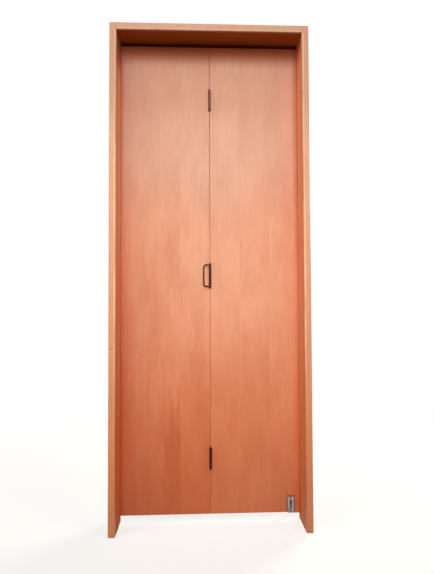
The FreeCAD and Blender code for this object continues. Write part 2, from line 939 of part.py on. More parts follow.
def pivot_bracket(holes):
    """An angle let into the right jamb, whose arm reaches under the leaf to the pivot."""
    toe = pivot_x - cell("bracket_toe")
    root_face = half_opening + cell("bracket_thickness")
    corners = [
        (toe, arm_bottom),
        (root_face, arm_bottom),
        (root_face, upright_top),
        (half_opening, upright_top),
        (half_opening, arm_top),
        (toe, arm_top),
    ]
    start = (0, leaf_middle + cell("bracket_width") / 2, 0)
    angle, pad = extruded("bracket_angle", "XZ_Plane", corners, cell("bracket_width"), start)
    pivot = number(pivot_x)
    eased(
        angle,
        pad,
        cell("bracket_corner"),
        lambda edge: edge.BoundBox.ZLength > edge.BoundBox.DiagonalLength / 2 and edge.CenterOfMass.x < pivot,
    )
    seat = rod(
        "bush_seat",
        cell("bush_diameter") / 2 + play,
        (pivot_x, leaf_middle, arm_bottom),
        "+z",
        cell("bracket_thickness"),
    )
    finish(without("pivot_bracket", angle, [seat] + holes), "pivot_bracket")


def pivot_bush():
    """The flanged cup in the bracket's arm that the bolt turns in."""
    bore = bolt_radius + running
    rim = cell("bush_diameter") / 2
    flange = cell("bush_flange_diameter") / 2
    height = cell("bracket_thickness")
    top = bush_top - arm_bottom
    floor = cell("bush_floor")
    profile = [
        (0, 0),
        (rim, 0),
        (rim, height),
        (flange, height),
        (flange, top),
        (bore, top),
        (bore, floor),
        (0, floor),
    ]
    finish(turned("pivot_bush", profile, (pivot_x, leaf_middle, arm_bottom)), "pivot_bush")


# Putting the door together


def screws_of(pairs):
    """The screws of a list of screws and holes."""
    return [screw for screw, _ in pairs]


def holes_of(pairs):
    """The holes of a list of screws and holes."""
    return [hole for _, hole in pairs]


def build_frame():
    """The jambs, the head and every fitting that stays with them."""
    right_corner = frame_screws(RIGHT)
    left_corner = frame_screws(LEFT)
    at_bracket = bracket_screws()
    in_track = track_screws()
    at_socket = socket_screw()
    jamb(LEFT, "left_jamb", holes_of(left_corner))
    jamb(RIGHT, "right_jamb", holes_of(right_corner + at_bracket) + [bracket_recess()])
    head_jamb(holes_of(right_corner + left_corner + in_track + [at_socket]))
    finish(grouped("frame_screws", screws_of(left_corner + right_corner)), "frame_screws")
    top_track(holes_of(in_track + [at_socket]))
    finish(grouped("track_screws", screws_of(in_track)), "track_screws")
    top_socket(at_socket[1])
    finish(at_socket[0], "top_socket_screw")
    pivot_bracket(holes_of(at_bracket))
    finish(grouped("bracket_screws", screws_of(at_bracket)), "bracket_screws")
    pivot_bush()


def build_hinges(side, prefix, knuckles):
    """The three flaps of one leaf and their screws; returns the holes for its edge."""
    pairs = []
    for level, height in hinge_heights.items():
        flap_pairs = hinge_screws(side, height)
        flap(side, f"{level}_hinge_{prefix}_flap", height, knuckles, holes_of(flap_pairs))
        pairs += flap_pairs
    finish(grouped(f"{prefix}_hinge_screws", screws_of(pairs)), f"{prefix}_hinge_screws")
    return holes_of(pairs)


def build_right_leaf():
    """The leaf that turns on the pivots, with the hinge pins."""
    edge_holes = build_hinges(RIGHT, "right", RIGHT_KNUCKLES)
    at_plate = pivot_plate_screws()
    for_bolt = bolt_hole()
    top_hole = sleeve(RIGHT, "top_pivot_sleeve")
    leaf(RIGHT, "right_leaf", holes_of(at_plate) + [pocket()], edge_holes, [for_bolt], top_hole)
    top_pivot_pin()
    pivot_plate(holes_of(at_plate))
    finish(grouped("pivot_plate_screws", screws_of(at_plate)), "pivot_plate_screws")
    pivot_bolt()
    pivot_nut()
    for level in hinge_heights:
        hinge_pin(level)
    finish(grouped("hinge_tips", [hinge_tip(level) for level in hinge_heights]), "hinge_tips")


def build_left_leaf():
    """The leaf that follows, guided in the track."""
    edge_holes = build_hinges(LEFT, "left", LEFT_KNUCKLES)
    top_hole = sleeve(LEFT, "guide_sleeve")
    leaf(LEFT, "left_leaf", [], edge_holes, [], top_hole)
    guide_pin()


def check():
    """Stop if any object failed or any sub-part has no sound shape."""
    for item in doc.Objects:
        if "Invalid" in item.State or "Error" in item.State:
            raise RuntimeError(f"{item.Label} failed: {item.State}")
    for piece in finished:
        if piece.Shape.isNull() or not piece.Shape.isValid() or not piece.Shape.Solids:
            raise RuntimeError(f"{piece.Label} has no sound shape")


def write():
    """One file for each sub-part."""
    os.makedirs("parts", exist_ok=True)
    for piece in finished:
        piece.Shape.exportStep(f"parts/{piece.Label}.step")
        print(f"{piece.Label}: {len(piece.Shape.Solids)} solids, {piece.Shape.Volume:.1f} mm3")
    leaf_width = number(outer_edge - meeting_edge)
    print(f"{len(finished)} sub-parts, frame height {number(frame_top):.1f}, leaf width {leaf_width:.1f}")


build_frame()
build_right_leaf()
build_left_leaf()
guide_roller()
bail_handle()
doc.recompute()
check()
write()
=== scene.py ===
# %% [markdown]
# # A folding flush door in its frame
# The object is a wooden door frame with two narrow flush leaves. The leaves are hinged to each other and fold
# away from us: the right one turns on pivots, the left one is guided in a track under the head.
# Everything that carries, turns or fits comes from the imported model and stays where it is. This lesson adds
# the looks: a camera, a finish for every surface, rounder forms for a few pieces, and the light.

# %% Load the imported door
import json
import math

import bpy
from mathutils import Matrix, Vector


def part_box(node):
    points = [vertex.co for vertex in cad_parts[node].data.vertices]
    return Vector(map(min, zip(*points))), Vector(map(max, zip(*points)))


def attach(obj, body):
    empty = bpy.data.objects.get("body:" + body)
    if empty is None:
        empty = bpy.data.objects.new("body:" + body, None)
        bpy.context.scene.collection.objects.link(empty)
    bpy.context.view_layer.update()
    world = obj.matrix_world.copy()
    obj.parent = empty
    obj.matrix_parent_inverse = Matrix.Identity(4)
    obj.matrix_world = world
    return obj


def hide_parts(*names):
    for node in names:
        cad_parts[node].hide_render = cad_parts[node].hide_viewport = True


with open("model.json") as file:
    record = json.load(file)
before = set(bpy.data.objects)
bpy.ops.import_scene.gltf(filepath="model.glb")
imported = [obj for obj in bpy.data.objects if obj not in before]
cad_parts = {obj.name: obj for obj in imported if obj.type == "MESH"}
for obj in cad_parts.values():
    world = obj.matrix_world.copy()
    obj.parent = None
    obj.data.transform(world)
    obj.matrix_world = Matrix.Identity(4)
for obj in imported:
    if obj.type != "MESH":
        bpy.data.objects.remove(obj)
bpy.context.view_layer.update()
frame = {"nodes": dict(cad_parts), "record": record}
nodes = frame["nodes"]

# %% [markdown]
# ## The camera
# The photograph was taken by hand, a little left of the middle and at chest height, with a wide lens. The
# place and the turn were worked out from the edges of the frame and of the leaves, so the camera is written
# with the same numbers. The sensor's width belongs to the longer side of the picture, which is its height.

# %% Camera
CAMERA_PLACE = (-0.047, -1.956, 0.985)
CAMERA_TURN = (91.76, 0.24, -2.24)
FOCAL_PIXELS = 442.6
PHOTO_HEIGHT = 574
SENSOR = 36.0

bpy.ops.object.camera_add(location=CAMERA_PLACE, rotation=[math.radians(turn) for turn in CAMERA_TURN])
camera = bpy.context.object
camera.name = "photo_camera"
camera.data.sensor_width = SENSOR
camera.data.lens = FOCAL_PIXELS * SENSOR / PHOTO_HEIGHT
bpy.context.scene.camera = camera
print(f"camera lens {camera.data.lens:.1f} mm")

# %% [markdown]
# ## Writing finishes as sums
# A finish is a tree of nodes. Wired by hand, a simple sum takes three nodes and four links, so here a small
# class wraps a node's output and lets Python's own + - * / > and abs add the Math nodes. Every other node
# comes from its one method `node`: the settings go in first, because some of them change which sockets there
# are.


# %% Sockets that can be added and multiplied
class Shade:
    """A node's output, which sums and products take as if it were a number."""

    def __init__(self, tree, output=None):
        self.tree = tree
        self.output = output

    def node(self, kind, settings=None, sockets=None, take=0):
        """Add a node with its settings and sockets, and give back one of its outputs."""
        made = self.tree.nodes.new(kind)
        for name, value in (settings or {}).items():
            setattr(made, name, value)
        for key, value in (sockets or {}).items():
            if isinstance(value, Shade):
                self.tree.links.new(value.output, made.inputs[key])
            else:
                made.inputs[key].default_value = value
        return Shade(self.tree, made.outputs[take]) if made.outputs else None

    def other(self, name):
        """Another output of the same node."""
        return Shade(self.tree, self.output.node.outputs[name])

    def math(self, operation, *values):
        """One Math node on these values."""
        return self.node("ShaderNodeMath", {"operation": operation}, dict(enumerate(values)))

    def __add__(self, value):
        return self.math("ADD", self, value)

    def __radd__(self, value):
        return self.math("ADD", value, self)

    def __sub__(self, value):
        return self.math("SUBTRACT", self, value)

    def __rsub__(self, value):
        return self.math("SUBTRACT", value, self)

    def __mul__(self, value):
        return self.math("MULTIPLY", self, value)

    def __rmul__(self, value):
        return self.math("MULTIPLY", value, self)

    def __truediv__(self, value):
        return self.math("DIVIDE", self, value)

    def __gt__(self, value):
        return self.math("GREATER_THAN", self, value)

    def __abs__(self):
        return self.math("ABSOLUTE", self)


SCREEN_FULL = 255
CURVE_OFFSET = 0.055
CURVE_POWER = 2.4
OPAQUE = 1.0


def paint(*levels):
    """A colour as red, green and blue are read on a screen, in the linear numbers that a shader takes."""
    bent = [(level / SCREEN_FULL + CURVE_OFFSET) / (1 + CURVE_OFFSET) for level in levels]
    return tuple(share**CURVE_POWER for share in bent) + (OPAQUE,)


WHITE = paint(255, 255, 255)
print("white paint is", WHITE)

# %% [markdown]
# ## Small tools for every finish
# All finishes read Object coordinates. The pieces of the door sit at the origin with their place in their
# mesh, so these coordinates are simply metres on the door, and they go along when a leaf swings.

# %% Tools for places and noise
NOISE_MEAN = 0.5


def new_finish(name):
    """An empty material, and the shade that its nodes start from."""
    material = bpy.data.materials.new(name)
    material.use_nodes = True
    material.node_tree.nodes.clear()
    return material, Shade(material.node_tree)


def surface(shade, sockets):
    """Close a finish with its shader."""
    shader = shade.node("ShaderNodeBsdfPrincipled", {}, sockets)
    shade.node("ShaderNodeOutputMaterial", {}, {"Surface": shader})


def metres(shade):
    """Where we are on the door, in metres."""
    return shade.node("ShaderNodeTexCoord", take="Object")


def split(spot):
    """The X of a place, whose other outputs are its Y and its Z."""
    return spot.node("ShaderNodeSeparateXYZ", {}, {"Vector": spot})


def moved(spot, shift):
    """A place that is shifted along some of its axes."""
    offset = spot.node("ShaderNodeCombineXYZ", {}, shift)
    return spot.node("ShaderNodeVectorMath", {"operation": "ADD"}, {0: spot, 1: offset})


def noise(spot, scale, detail=2.0):
    """Cloudy noise with this many features to the metre along each axis."""
    stretched = spot.node("ShaderNodeMapping", {}, {"Vector": spot, "Scale": scale})
    return spot.node("ShaderNodeTexNoise", {}, {"Vector": stretched, "Scale": 1.0, "Detail": detail})


print("finishes start from Object coordinates")

# %% [markdown]
# ## From marks to colours
# A finish first works out its marks, which mostly are numbers from 0 to 1, such as a pore or a worn edge.
# Small tables then say how large a share each mark has in a colour, in a tone or in the roughness, so that a
# finish can be tuned in its tables alone. The Mix node has sockets for every kind of value; the four numbers
# are those for colours.

# %% Tools for marks and colours
MIX_SHARE, MIX_FIRST, MIX_SECOND, MIX_RESULT = 0, 6, 7, 2


def step(value, low, high):
    """Goes smoothly from 0 to 1 while the value goes from low to high."""
    sockets = {"Value": value, "From Min": low, "From Max": high}
    return value.node("ShaderNodeMapRange", {"interpolation_type": "SMOOTHSTEP"}, sockets)


def within(value, rise, fall):
    """One between two limits, with a soft start and a soft end."""
    return step(value, *rise) * (1 - step(value, *fall))


def raised(value, low):
    """A mark that starts from low in place of 0, and still ends at 1."""
    return low + (1 - low) * value


def apart(aside, above):
    """The distance that two offsets at right angles make."""
    return aside.math("SQRT", aside * aside + above * above)


def total(marks, plain=0.0, **shares):
    """The plain part, plus each mark times its share."""
    return sum((share * marks[name] for name, share in shares.items()), plain)


def mixed(share, first, second):
    """A colour between two others."""
    sockets = {MIX_SHARE: share, MIX_FIRST: first, MIX_SECOND: second}
    return share.node("ShaderNodeMix", {"data_type": "RGBA"}, sockets, take=MIX_RESULT)


def scaled(colour, factor):
    """A colour made lighter or darker."""
    sockets = {0: colour, "Scale": factor}
    return factor.node("ShaderNodeVectorMath", {"operation": "SCALE"}, sockets)


def relief(height, depth, strength):
    """A normal that shows this height as if it were cut that deep."""
    return height.node("ShaderNodeBump", {}, {"Strength": strength, "Distance": depth, "Height": height})


print("tables of shares turn marks into colours")

# %% [markdown]
# ## The grain of the frame
# The jambs and the head are solid boards. Their front edges show soft bands of pink and tan that wander as
# they climb, fine fibres and short dark pores. A photograph could be wrapped round the boards, but it would
# break at the corners. Noise that is drawn out along the grain fills the whole board, so the end grain shows
# where the board is sawn. The head is the same wood laid on its side, so its coordinates are turned by a
# quarter before the grain is drawn.

# %% Grain of the frame
QUARTER_TURN = math.radians(90)
GRAIN_UPRIGHT = (0.0, 0.0, 0.0)
GRAIN_LYING = (0.0, QUARTER_TURN, 0.0)
BAND_WANDER = 0.05
FRAME_BENDS = {"scale": (2.0, 2.0, 0.9), "detail": 1.0}
FRAME_BANDS = {"scale": (85.0, 85.0, 2.0), "detail": 2.5}
FRAME_FIBRES = {"scale": (420.0, 420.0, 9.0), "detail": 2.0}
FRAME_PORES = {"scale": (1100.0, 1100.0, 45.0), "detail": 1.0}
BAND_EDGES = (0.38, 0.62)
FRAME_PORE_EDGES = (0.58, 0.72)


def frame_grain(spot, turn):
    """The marks of a board whose grain runs along Z after the turn."""
    board = spot.node("ShaderNodeMapping", {}, {"Vector": spot, "Rotation": turn})
    wander = (noise(board, **FRAME_BENDS) - NOISE_MEAN) * BAND_WANDER
    bent = moved(board, {"X": wander, "Y": wander})
    return {
        "bands": step(noise(bent, **FRAME_BANDS), *BAND_EDGES),
        "fibres": noise(bent, **FRAME_FIBRES),
        "pores": step(noise(bent, **FRAME_PORES), *FRAME_PORE_EDGES),
    }


print("the bands repeat about", FRAME_BANDS["scale"][0], "times to the metre")

# %% [markdown]
# ## Age, painted light and painted shade on the frame
# Age, painted light and painted shade lie over the grain by place. The front is painted paler from the middle
# upwards, a painted sheen. The foot is a deeper orange and dull on its inner side. The inner sides are painted
# lighter, most of all higher up, just under the head on the right and towards the leaves: this is painted
# light.
# Along the inner front edge, from hip height up, a paler line that comes and goes is a painted highlight. The
# left jamb is painted darker on the inside just under the head, as painted shade, is more orange below, and has
# a small dent in its front, painted as a shadow above and a highlight on its lower lip. Where the rounded edges
# of head and jambs meet, the joint has opened a little and gathered dirt.
# A place is a distance from an edge of the imported model or a height above the floor, in metres, and each
# pair of limits says where its mark starts and where it is full.

# %% Age, painted light and painted shade on the frame
jamb_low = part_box("right_jamb")[0]
head_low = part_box("head_jamb")[0]
FRONT_SKIN = (0.0005, 0.004)
LEFT_HALF = (-0.1, 0.1)
FRAME_FOOT = (0.0, 0.9)
FRAME_SHEEN_HEIGHT = (0.5, 1.2)
LEFT_SHEEN = 0.2
LINING_DEPTH = (0.006, 0.02)
LINING_SKIN = (0.0005, 0.003)
LINING_LIT_HEIGHT = (0.3, 1.8)
LINING_LIT_DEPTH = (0.055, 0.105)
LINING_ORANGE = (0.75, 1.5)
UNDER_HEAD = (1.97, 2.09)
HIGHLIGHT_EDGE = (0.005, 0.009)
HIGHLIGHT_HEIGHT = (0.35, 1.1)
HIGHLIGHT_PATCHES = {"scale": (5.0, 5.0, 5.0), "detail": 2.0}
HIGHLIGHT_PATCH_EDGES = (0.28, 0.58)
JOINT_ASIDE, JOINT_ABOVE = 0.0012, 0.009
JOINT_SIZE = (0.0025, 0.0058)
DENT_ACROSS = (-0.425, -0.421), (-0.402, -0.400)
DENT_SHADOW = (0.7770, 0.7795), (0.7820, 0.7845)
DENT_HIGHLIGHT = (0.7665, 0.7690), (0.7735, 0.7760)


def frame_age_and_painted_light(spot, edge_axis, edge_at, sheen_amount, lining_light):
    """The marks of age, painted light and painted shade on a board whose inner side lies at a place along one
    axis.
    """
    across = split(spot)
    up = across.other("Z")
    aside = abs(across.other(edge_axis)) - edge_at
    behind = across.other("Y") - jamb_low.y
    front = 1 - step(behind, *FRONT_SKIN)
    left = 1 - step(across, *LEFT_HALF)
    foot = 1 - step(up, *FRAME_FOOT)
    lining = step(behind, *LINING_DEPTH) * (1 - step(aside, *LINING_SKIN))
    # The inner faces are painted lighter, more so higher up, under the head and towards the leaves: painted
    # light.
    inside = lining_light * lining
    under_head = step(up, *UNDER_HEAD)
    # Patches from hip height up along the inner front edge, where a highlight is painted.
    highlit = step(up, *HIGHLIGHT_HEIGHT) * step(noise(spot, **HIGHLIGHT_PATCHES), *HIGHLIGHT_PATCH_EDGES)
    beside_joint = abs(across) - (jamb_low.x + JOINT_ASIDE)
    above_joint = up - (head_low.z + JOINT_ABOVE)
    dent = within(across, *DENT_ACROSS) * front
    return {
        # A painted sheen: the front is painted paler from the middle upwards.
        "sheen_upper": front * step(up, *FRAME_SHEEN_HEIGHT) * (sheen_amount + LEFT_SHEEN * left),
        "foot": foot,
        "left_foot": foot * left,
        "lining": lining,
        "foot_lining": foot * lining,
        "left_foot_lining": foot * lining * left,
        "inside": inside,
        "lining_lit_high": inside * step(up, *LINING_LIT_HEIGHT),
        "lining_lit_under_head": inside * under_head,
        "lining_lit_deep": inside * step(behind, *LINING_LIT_DEPTH),
        # Painted shade on the left lining just under the head.
        "shade_under_head": inside * under_head * left,
        "orange": inside * left * (1 - step(up, *LINING_ORANGE)),
        # The worn mark is a painted highlight along the inner front edge, in patches.
        "worn": (1 - step(apart(aside, behind), *HIGHLIGHT_EDGE)) * highlit,
        "open_joint": (1 - step(apart(beside_joint, above_joint), *JOINT_SIZE)) * front,
        # The dent is painted into the colour: a painted shadow above it and a painted highlight on its lower
        # lip.
        "dent_shadow": dent * within(up, *DENT_SHADOW),
        "dent_highlight": dent * within(up, *DENT_HIGHLIGHT),
    }


print(f"the inner sides lie {1000 * jamb_low.x:.0f} mm from the middle and {1000 * head_low.z:.0f} mm up")

# %% [markdown]
# ## Solid wood for the frame
# Grain, age and painted light come together under a satin varnish. The colour goes from fresh to aged, with
# painted shade, and then to the pale painted sheen, is made lighter or darker, partly as painted light and
# shade, and last gets its dark spots, among them a painted shadow, and its painted highlights. The underside of
# the head is a deeper brown. The varnish is glossier than plain wood, which the specular level says, and dull
# where it is old, which the roughness says.

# %% Frame wood
FRAME_PINK = paint(204, 122, 86)
FRAME_TAN = paint(202, 135, 92)
FRAME_PORE = paint(122, 62, 38)
FRAME_HIGHLIGHT = paint(240, 194, 166)
FRAME_DEEP = paint(186, 98, 48)
PALE_PINK = paint(226, 162, 142)
PALE_TAN = paint(216, 163, 128)
SOFFIT_BROWN = paint(180, 108, 20)
VARNISH_GLOSS = 0.7
FRAME_RELIEF = (0.0004, 0.25)
# Deeper colour: the shade under the head is painted shade; the rest is the foot and the lining's orange.
FRAME_AGE_AND_SHADE = {
    "foot": 0.5,
    "left_foot": -0.15,
    "foot_lining": 0.1,
    "left_foot_lining": 0.55,
    "shade_under_head": 1.2,
    "orange": 0.7,
}
# Tone: the lining marks paint light on the inner faces, and the shade under the head paints shade.
FRAME_TONE = {
    "plain": 0.86,
    "fibres": 0.28,
    "inside": 0.2,
    "lining_lit_high": 0.8,
    "lining_lit_under_head": 0.4,
    "lining_lit_deep": 0.55,
    "orange": 0.3,
    "shade_under_head": -1.7,
}
# Dark spots: pores, the open joint and the painted shadow of the dent.
FRAME_DARK_SPOTS = {"pores": 0.4, "open_joint": 0.8, "dent_shadow": 0.35}
# Painted highlights: the line along the inner front edge and the lower lip of the dent.
FRAME_HIGHLIGHT_SPOTS = {"worn": 0.75, "dent_highlight": 0.4}
FRAME_ROUGHNESS = {
    "plain": 0.30,
    "fibres": 0.08,
    "pores": 0.12,
    "foot_lining": 0.4,
    "shade_under_head": 0.6,
    "orange": 0.5,
}


def frame_wood(name, turn, edge_axis, edge_at, sheen_amount, lining_light, browned):
    """Varnished solid wood, with a painted highlight along its inner front edge."""
    material, shade = new_finish(name)
    spot = metres(shade)
    marks = frame_grain(spot, turn)
    marks.update(frame_age_and_painted_light(spot, edge_axis, edge_at, sheen_amount, lining_light))
    fresh = mixed(marks["bands"], FRAME_PINK, FRAME_TAN)
    with_soffit_brown = mixed(browned * marks["lining"], fresh, SOFFIT_BROWN)
    aged_and_shaded = mixed(total(marks, **FRAME_AGE_AND_SHADE), with_soffit_brown, FRAME_DEEP)
    pale = mixed(marks["bands"], PALE_PINK, PALE_TAN)
    toned = scaled(mixed(marks["sheen_upper"], aged_and_shaded, pale), total(marks, **FRAME_TONE))
    veined = mixed(total(marks, **FRAME_DARK_SPOTS), toned, FRAME_PORE)
    surface(
        shade,
        {
            "Base Color": mixed(total(marks, **FRAME_HIGHLIGHT_SPOTS), veined, FRAME_HIGHLIGHT),
            "Roughness": total(marks, **FRAME_ROUGHNESS),
            "Specular IOR Level": VARNISH_GLOSS,
            "Normal": relief(marks["fibres"] - marks["pores"], *FRAME_RELIEF),
        },
    )
    return material


upright_wood = frame_wood(
    "frame_wood_upright", GRAIN_UPRIGHT, "X", jamb_low.x, sheen_amount=0.3, lining_light=0.55, browned=0.0
)
lying_wood = frame_wood(
    "frame_wood_lying", GRAIN_LYING, "Z", head_low.z, sheen_amount=0.45, lining_light=0.0, browned=0.9
)
print("frame wood:", len(upright_wood.node_tree.nodes), "nodes")

# %% [markdown]
# ## The figure of the veneer
# Each leaf is faced with three strips of veneer, cut one after another from the same log. The strips follow
# each other without turning, so each one starts a little darker at its seam and grows lighter to the next,
# more so in some places than in others. The strip number comes from the distance to the meeting line; it
# picks a tone and shifts the grain, so that no strip repeats another. Clouds, blotches, short streaks and
# flecks are the same noise at four sizes, all drawn out along the height.

# %% Figure of the veneer
leaf_low, leaf_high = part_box("right_leaf_front_skin")
STRIPS = 3
STRIP_WIDTH = (leaf_high.x - leaf_low.x) / STRIPS
STRIP_SHIFT = 7.0
LEAF_MIDDLE = (leaf_low.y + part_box("right_leaf_back_skin")[1].y) / 2
GRAIN_WANDER = 0.03
VENEER_BENDS = {"scale": (5.0, 5.0, 3.0), "detail": 2.0}
VENEER_CLOUDS = {"scale": (6.0, 6.0, 2.6), "detail": 3.0}
VENEER_BLOTCHES = {"scale": (17.0, 17.0, 5.5), "detail": 2.0}
VENEER_STREAKS = {"scale": (60.0, 60.0, 7.0), "detail": 2.0}
VENEER_FLECKS = {"scale": (170.0, 170.0, 18.0), "detail": 1.0}
VENEER_PORES = {"scale": (800.0, 800.0, 60.0), "detail": 1.0}
VENEER_PORE_EDGES = (0.60, 0.74)
SEAM_REACH = (0.0, 0.75)
SEAM_HEIGHT = (1.6, 2.0)
SEAM_LOW = 0.25


def veneer_figure(spot):
    """The marks of the wood itself: the leaf, the face and the strip that we are on, and the grain there."""
    across = split(spot)
    along_leaf = (abs(across) - leaf_low.x) / STRIP_WIDTH
    strip = along_leaf.math("FLOOR", along_leaf)
    right = across > 0.0
    back = across.other("Y") > LEAF_MIDDLE
    number = strip + STRIPS * right + 2 * STRIPS * back
    tone = spot.node("ShaderNodeTexWhiteNoise", {"noise_dimensions": "1D"}, {"W": number}, take="Value")
    wander = (noise(spot, **VENEER_BENDS) - NOISE_MEAN) * GRAIN_WANDER
    place = moved(spot, {"X": wander, "Z": STRIP_SHIFT * tone})
    seam_strength = raised(step(across.other("Z"), *SEAM_HEIGHT), SEAM_LOW)
    return {
        "right": right,
        "front": 1 - back,
        "strip": strip,
        "tone": tone,
        "seam": (1 - step(along_leaf - strip, *SEAM_REACH)) * seam_strength,
        "clouds": noise(place, **VENEER_CLOUDS),
        "blotches": noise(place, **VENEER_BLOTCHES),
        "streaks": noise(place, **VENEER_STREAKS),
        "flecks": noise(place, **VENEER_FLECKS),
        "pores": step(noise(place, **VENEER_PORES), *VENEER_PORE_EDGES),
    }


print(f"veneer strips {1000 * STRIP_WIDTH:.1f} mm wide")

# %% [markdown]
# ## Age, painted light and painted shade on the veneer
# Age, painted light and painted shade show by place, as on the frame. The foot is a deeper orange. The left
# leaf's outer edge is painted deeper and darker as the shade of the jamb, and the band under the head as the
# shadow of the head. A paler painted sheen lies on the middle and again below the head, with a painted darker
# stretch of shade between the two, and near the meeting line round the pull it is painted a little darker as
# shade. An old stain rises near the left foot and ends at the first seam, a dark ring lies round the pivot
# plate, and a short crack, a check, has opened high up at the left edge. The foot and the jamb's painted shade
# are weaker on the right leaf.

# %% Age, painted light and painted shade on the veneer
VENEER_FOOT = (0.0, 0.95)
RIGHT_FOOT_LOSS = 0.4
JAMB_SHADE_BAND = 0.09
RIGHT_JAMB_SHADE_LOSS = 0.85
HEAD_SHADOW_HEIGHT = (2.04, 2.11)
HEAD_SHADOW_EDGE = (2.09, 2.14)
SHEEN_MIDDLE_HEIGHT = (0.7, 1.05), (1.3, 1.75)
SHEEN_HIGH_HEIGHT = (1.68, 1.86), (1.94, 2.08)
SHADE_MIDDLE_HEIGHT = (1.28, 1.5), (1.64, 1.82)
MEETING_SHADE_HEIGHT = (0.95, 1.2), (1.5, 1.75)
MEETING_SHADE_REACH = 0.24
STAIN_PLACE = (-0.16, 0.26)
STAIN_SIZE = (0.055, 0.36)
STAIN_EDGES = (-0.2, 1.1)
STAIN_FRAY = 2.5
FIRST_STRIP = 0.5
PLATE_RING_WIDTH = 0.007
CHECK_PLACE = (-0.392, 2.018)
CHECK_ASIDE = (0.0042, 0.007)
CHECK_ABOVE = (0.00033, 0.0011)


def outside_plate(across, up):
    """How far a point of the face lies outside the pivot plate."""
    low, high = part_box("pivot_plate")
    beside = abs(across - (low.x + high.x) / 2) - (high.x - low.x) / 2
    above = abs(up - (low.z + high.z) / 2) - (high.z - low.z) / 2
    return beside.math("MAXIMUM", beside, above)


def veneer_age_and_painted_light(spot, marks):
    """The marks of age, painted light and painted shade by place, on the front face for the most part."""
    across = split(spot)
    up = across.other("Z")
    right, front = marks["right"], marks["front"]
    from_meeting = abs(across)
    # Where the jamb's shade is painted on the leaf's outer edge.
    outer = step(from_meeting, leaf_high.x - JAMB_SHADE_BAND, leaf_high.x)
    # Painted shade near the meeting line at mid height.
    shade_near_meeting = within(up, *MEETING_SHADE_HEIGHT) * (1 - step(from_meeting, 0.0, MEETING_SHADE_REACH))
    aside = (across - STAIN_PLACE[0]) / STAIN_SIZE[0]
    above = (up - STAIN_PLACE[1]) / STAIN_SIZE[1]
    frayed = aside * aside + above * above + STAIN_FRAY * (marks["streaks"] - NOISE_MEAN)
    beside_check = 1 - step(abs(across - CHECK_PLACE[0]), *CHECK_ASIDE)
    above_check = 1 - step(abs(up - CHECK_PLACE[1]), *CHECK_ABOVE)
    return {
        "foot": (1 - step(up, *VENEER_FOOT)) * (1 - RIGHT_FOOT_LOSS * right),
        # The outer edge band is painted shade from the jamb, weaker on the right leaf.
        "outer": front * outer * (1 - RIGHT_JAMB_SHADE_LOSS * right),
        # Painted shadow of the head over the top of the leaf.
        "head_shadow": front * step(up, *HEAD_SHADOW_HEIGHT),
        "head_shadow_edge": front * step(up, *HEAD_SHADOW_EDGE),
        # Painted sheen in the middle and below the head, and a painted darker stretch of shade between them.
        "sheen_middle": front * within(up, *SHEEN_MIDDLE_HEIGHT),
        "sheen_high": front * within(up, *SHEEN_HIGH_HEIGHT),
        "shade_middle": front * within(up, *SHADE_MIDDLE_HEIGHT),
        # Painted shade near the meeting line.
        "shade_near_meeting": front * shade_near_meeting,
        "stain": front * (1 - step(frayed, *STAIN_EDGES)) * (marks["strip"] > FIRST_STRIP),
        "plate_ring": front * (1 - step(outside_plate(across, up), 0.0, PLATE_RING_WIDTH)),
        "check": beside_check * above_check,
    }


# The foot is darker, and the top is darker by the painted shadow of the head.
print("the veneer is darkest below", VENEER_FOOT[1], "m and above", HEAD_SHADOW_HEIGHT[0], "m")

# %% [markdown]
# ## Veneer for the leaves
# The figure moves the colour between a red and a tan of almost the same brightness: a figure made of light
# and dark alone would look like stripes. The right leaf is paler and its figure calmer than the left one's,
# so its figure is weaker and set a little to the tan. The paleness also carries a painted sheen in a band in
# the middle and one below the head. Then age and painted shade deepen and dull the colour.

# %% Leaf veneer
VENEER_RED = paint(199, 101, 51)
VENEER_TAN = paint(206, 126, 87)
VENEER_DEEP = paint(184, 82, 26)
VENEER_PORE = paint(120, 52, 28)
VENEER_RELIEF = (0.0002, 0.1)
FIGURE = {"clouds": 1.4, "blotches": 1.3, "streaks": 0.7, "flecks": 0.6, "tone": 0.12, "seam": -0.25}
FIGURE_MEAN = 2.03
RIGHT_CALM = 0.2
# Paleness: the two bands are a painted sheen.
PALENESS = {"plain": 0.5, "right": 0.12, "sheen_middle": 0.2, "sheen_high": 0.22}
# Deeper colour: the outer edge and the head's shadow as painted shade, the foot and the stain as they are.
VENEER_AGE_AND_SHADE = {"foot": 0.9, "outer": 0.75, "stain": 0.5, "head_shadow": 0.9, "head_shadow_edge": 0.1}
# Tone: the outer edge, the head's shadow, the middle stretch and the stretch near the meeting line are painted
# shade; the paleness carries a painted sheen.
VENEER_TONE = {
    "plain": 0.93,
    "paleness": 0.12,
    "outer": -0.12,
    "stain": -0.06,
    "head_shadow": -0.12,
    "head_shadow_edge": -0.08,
    "shade_middle": -0.07,
    "shade_near_meeting": -0.08,
}
VENEER_DARK_SPOTS = {"pores": 0.14, "plate_ring": 0.8}
CHECK_SHARE = 0.7
VENEER_ROUGHNESS = {"plain": 0.28, "flecks": 0.06, "pores": 0.12, "head_shadow": 0.22, "head_shadow_edge": 0.25}


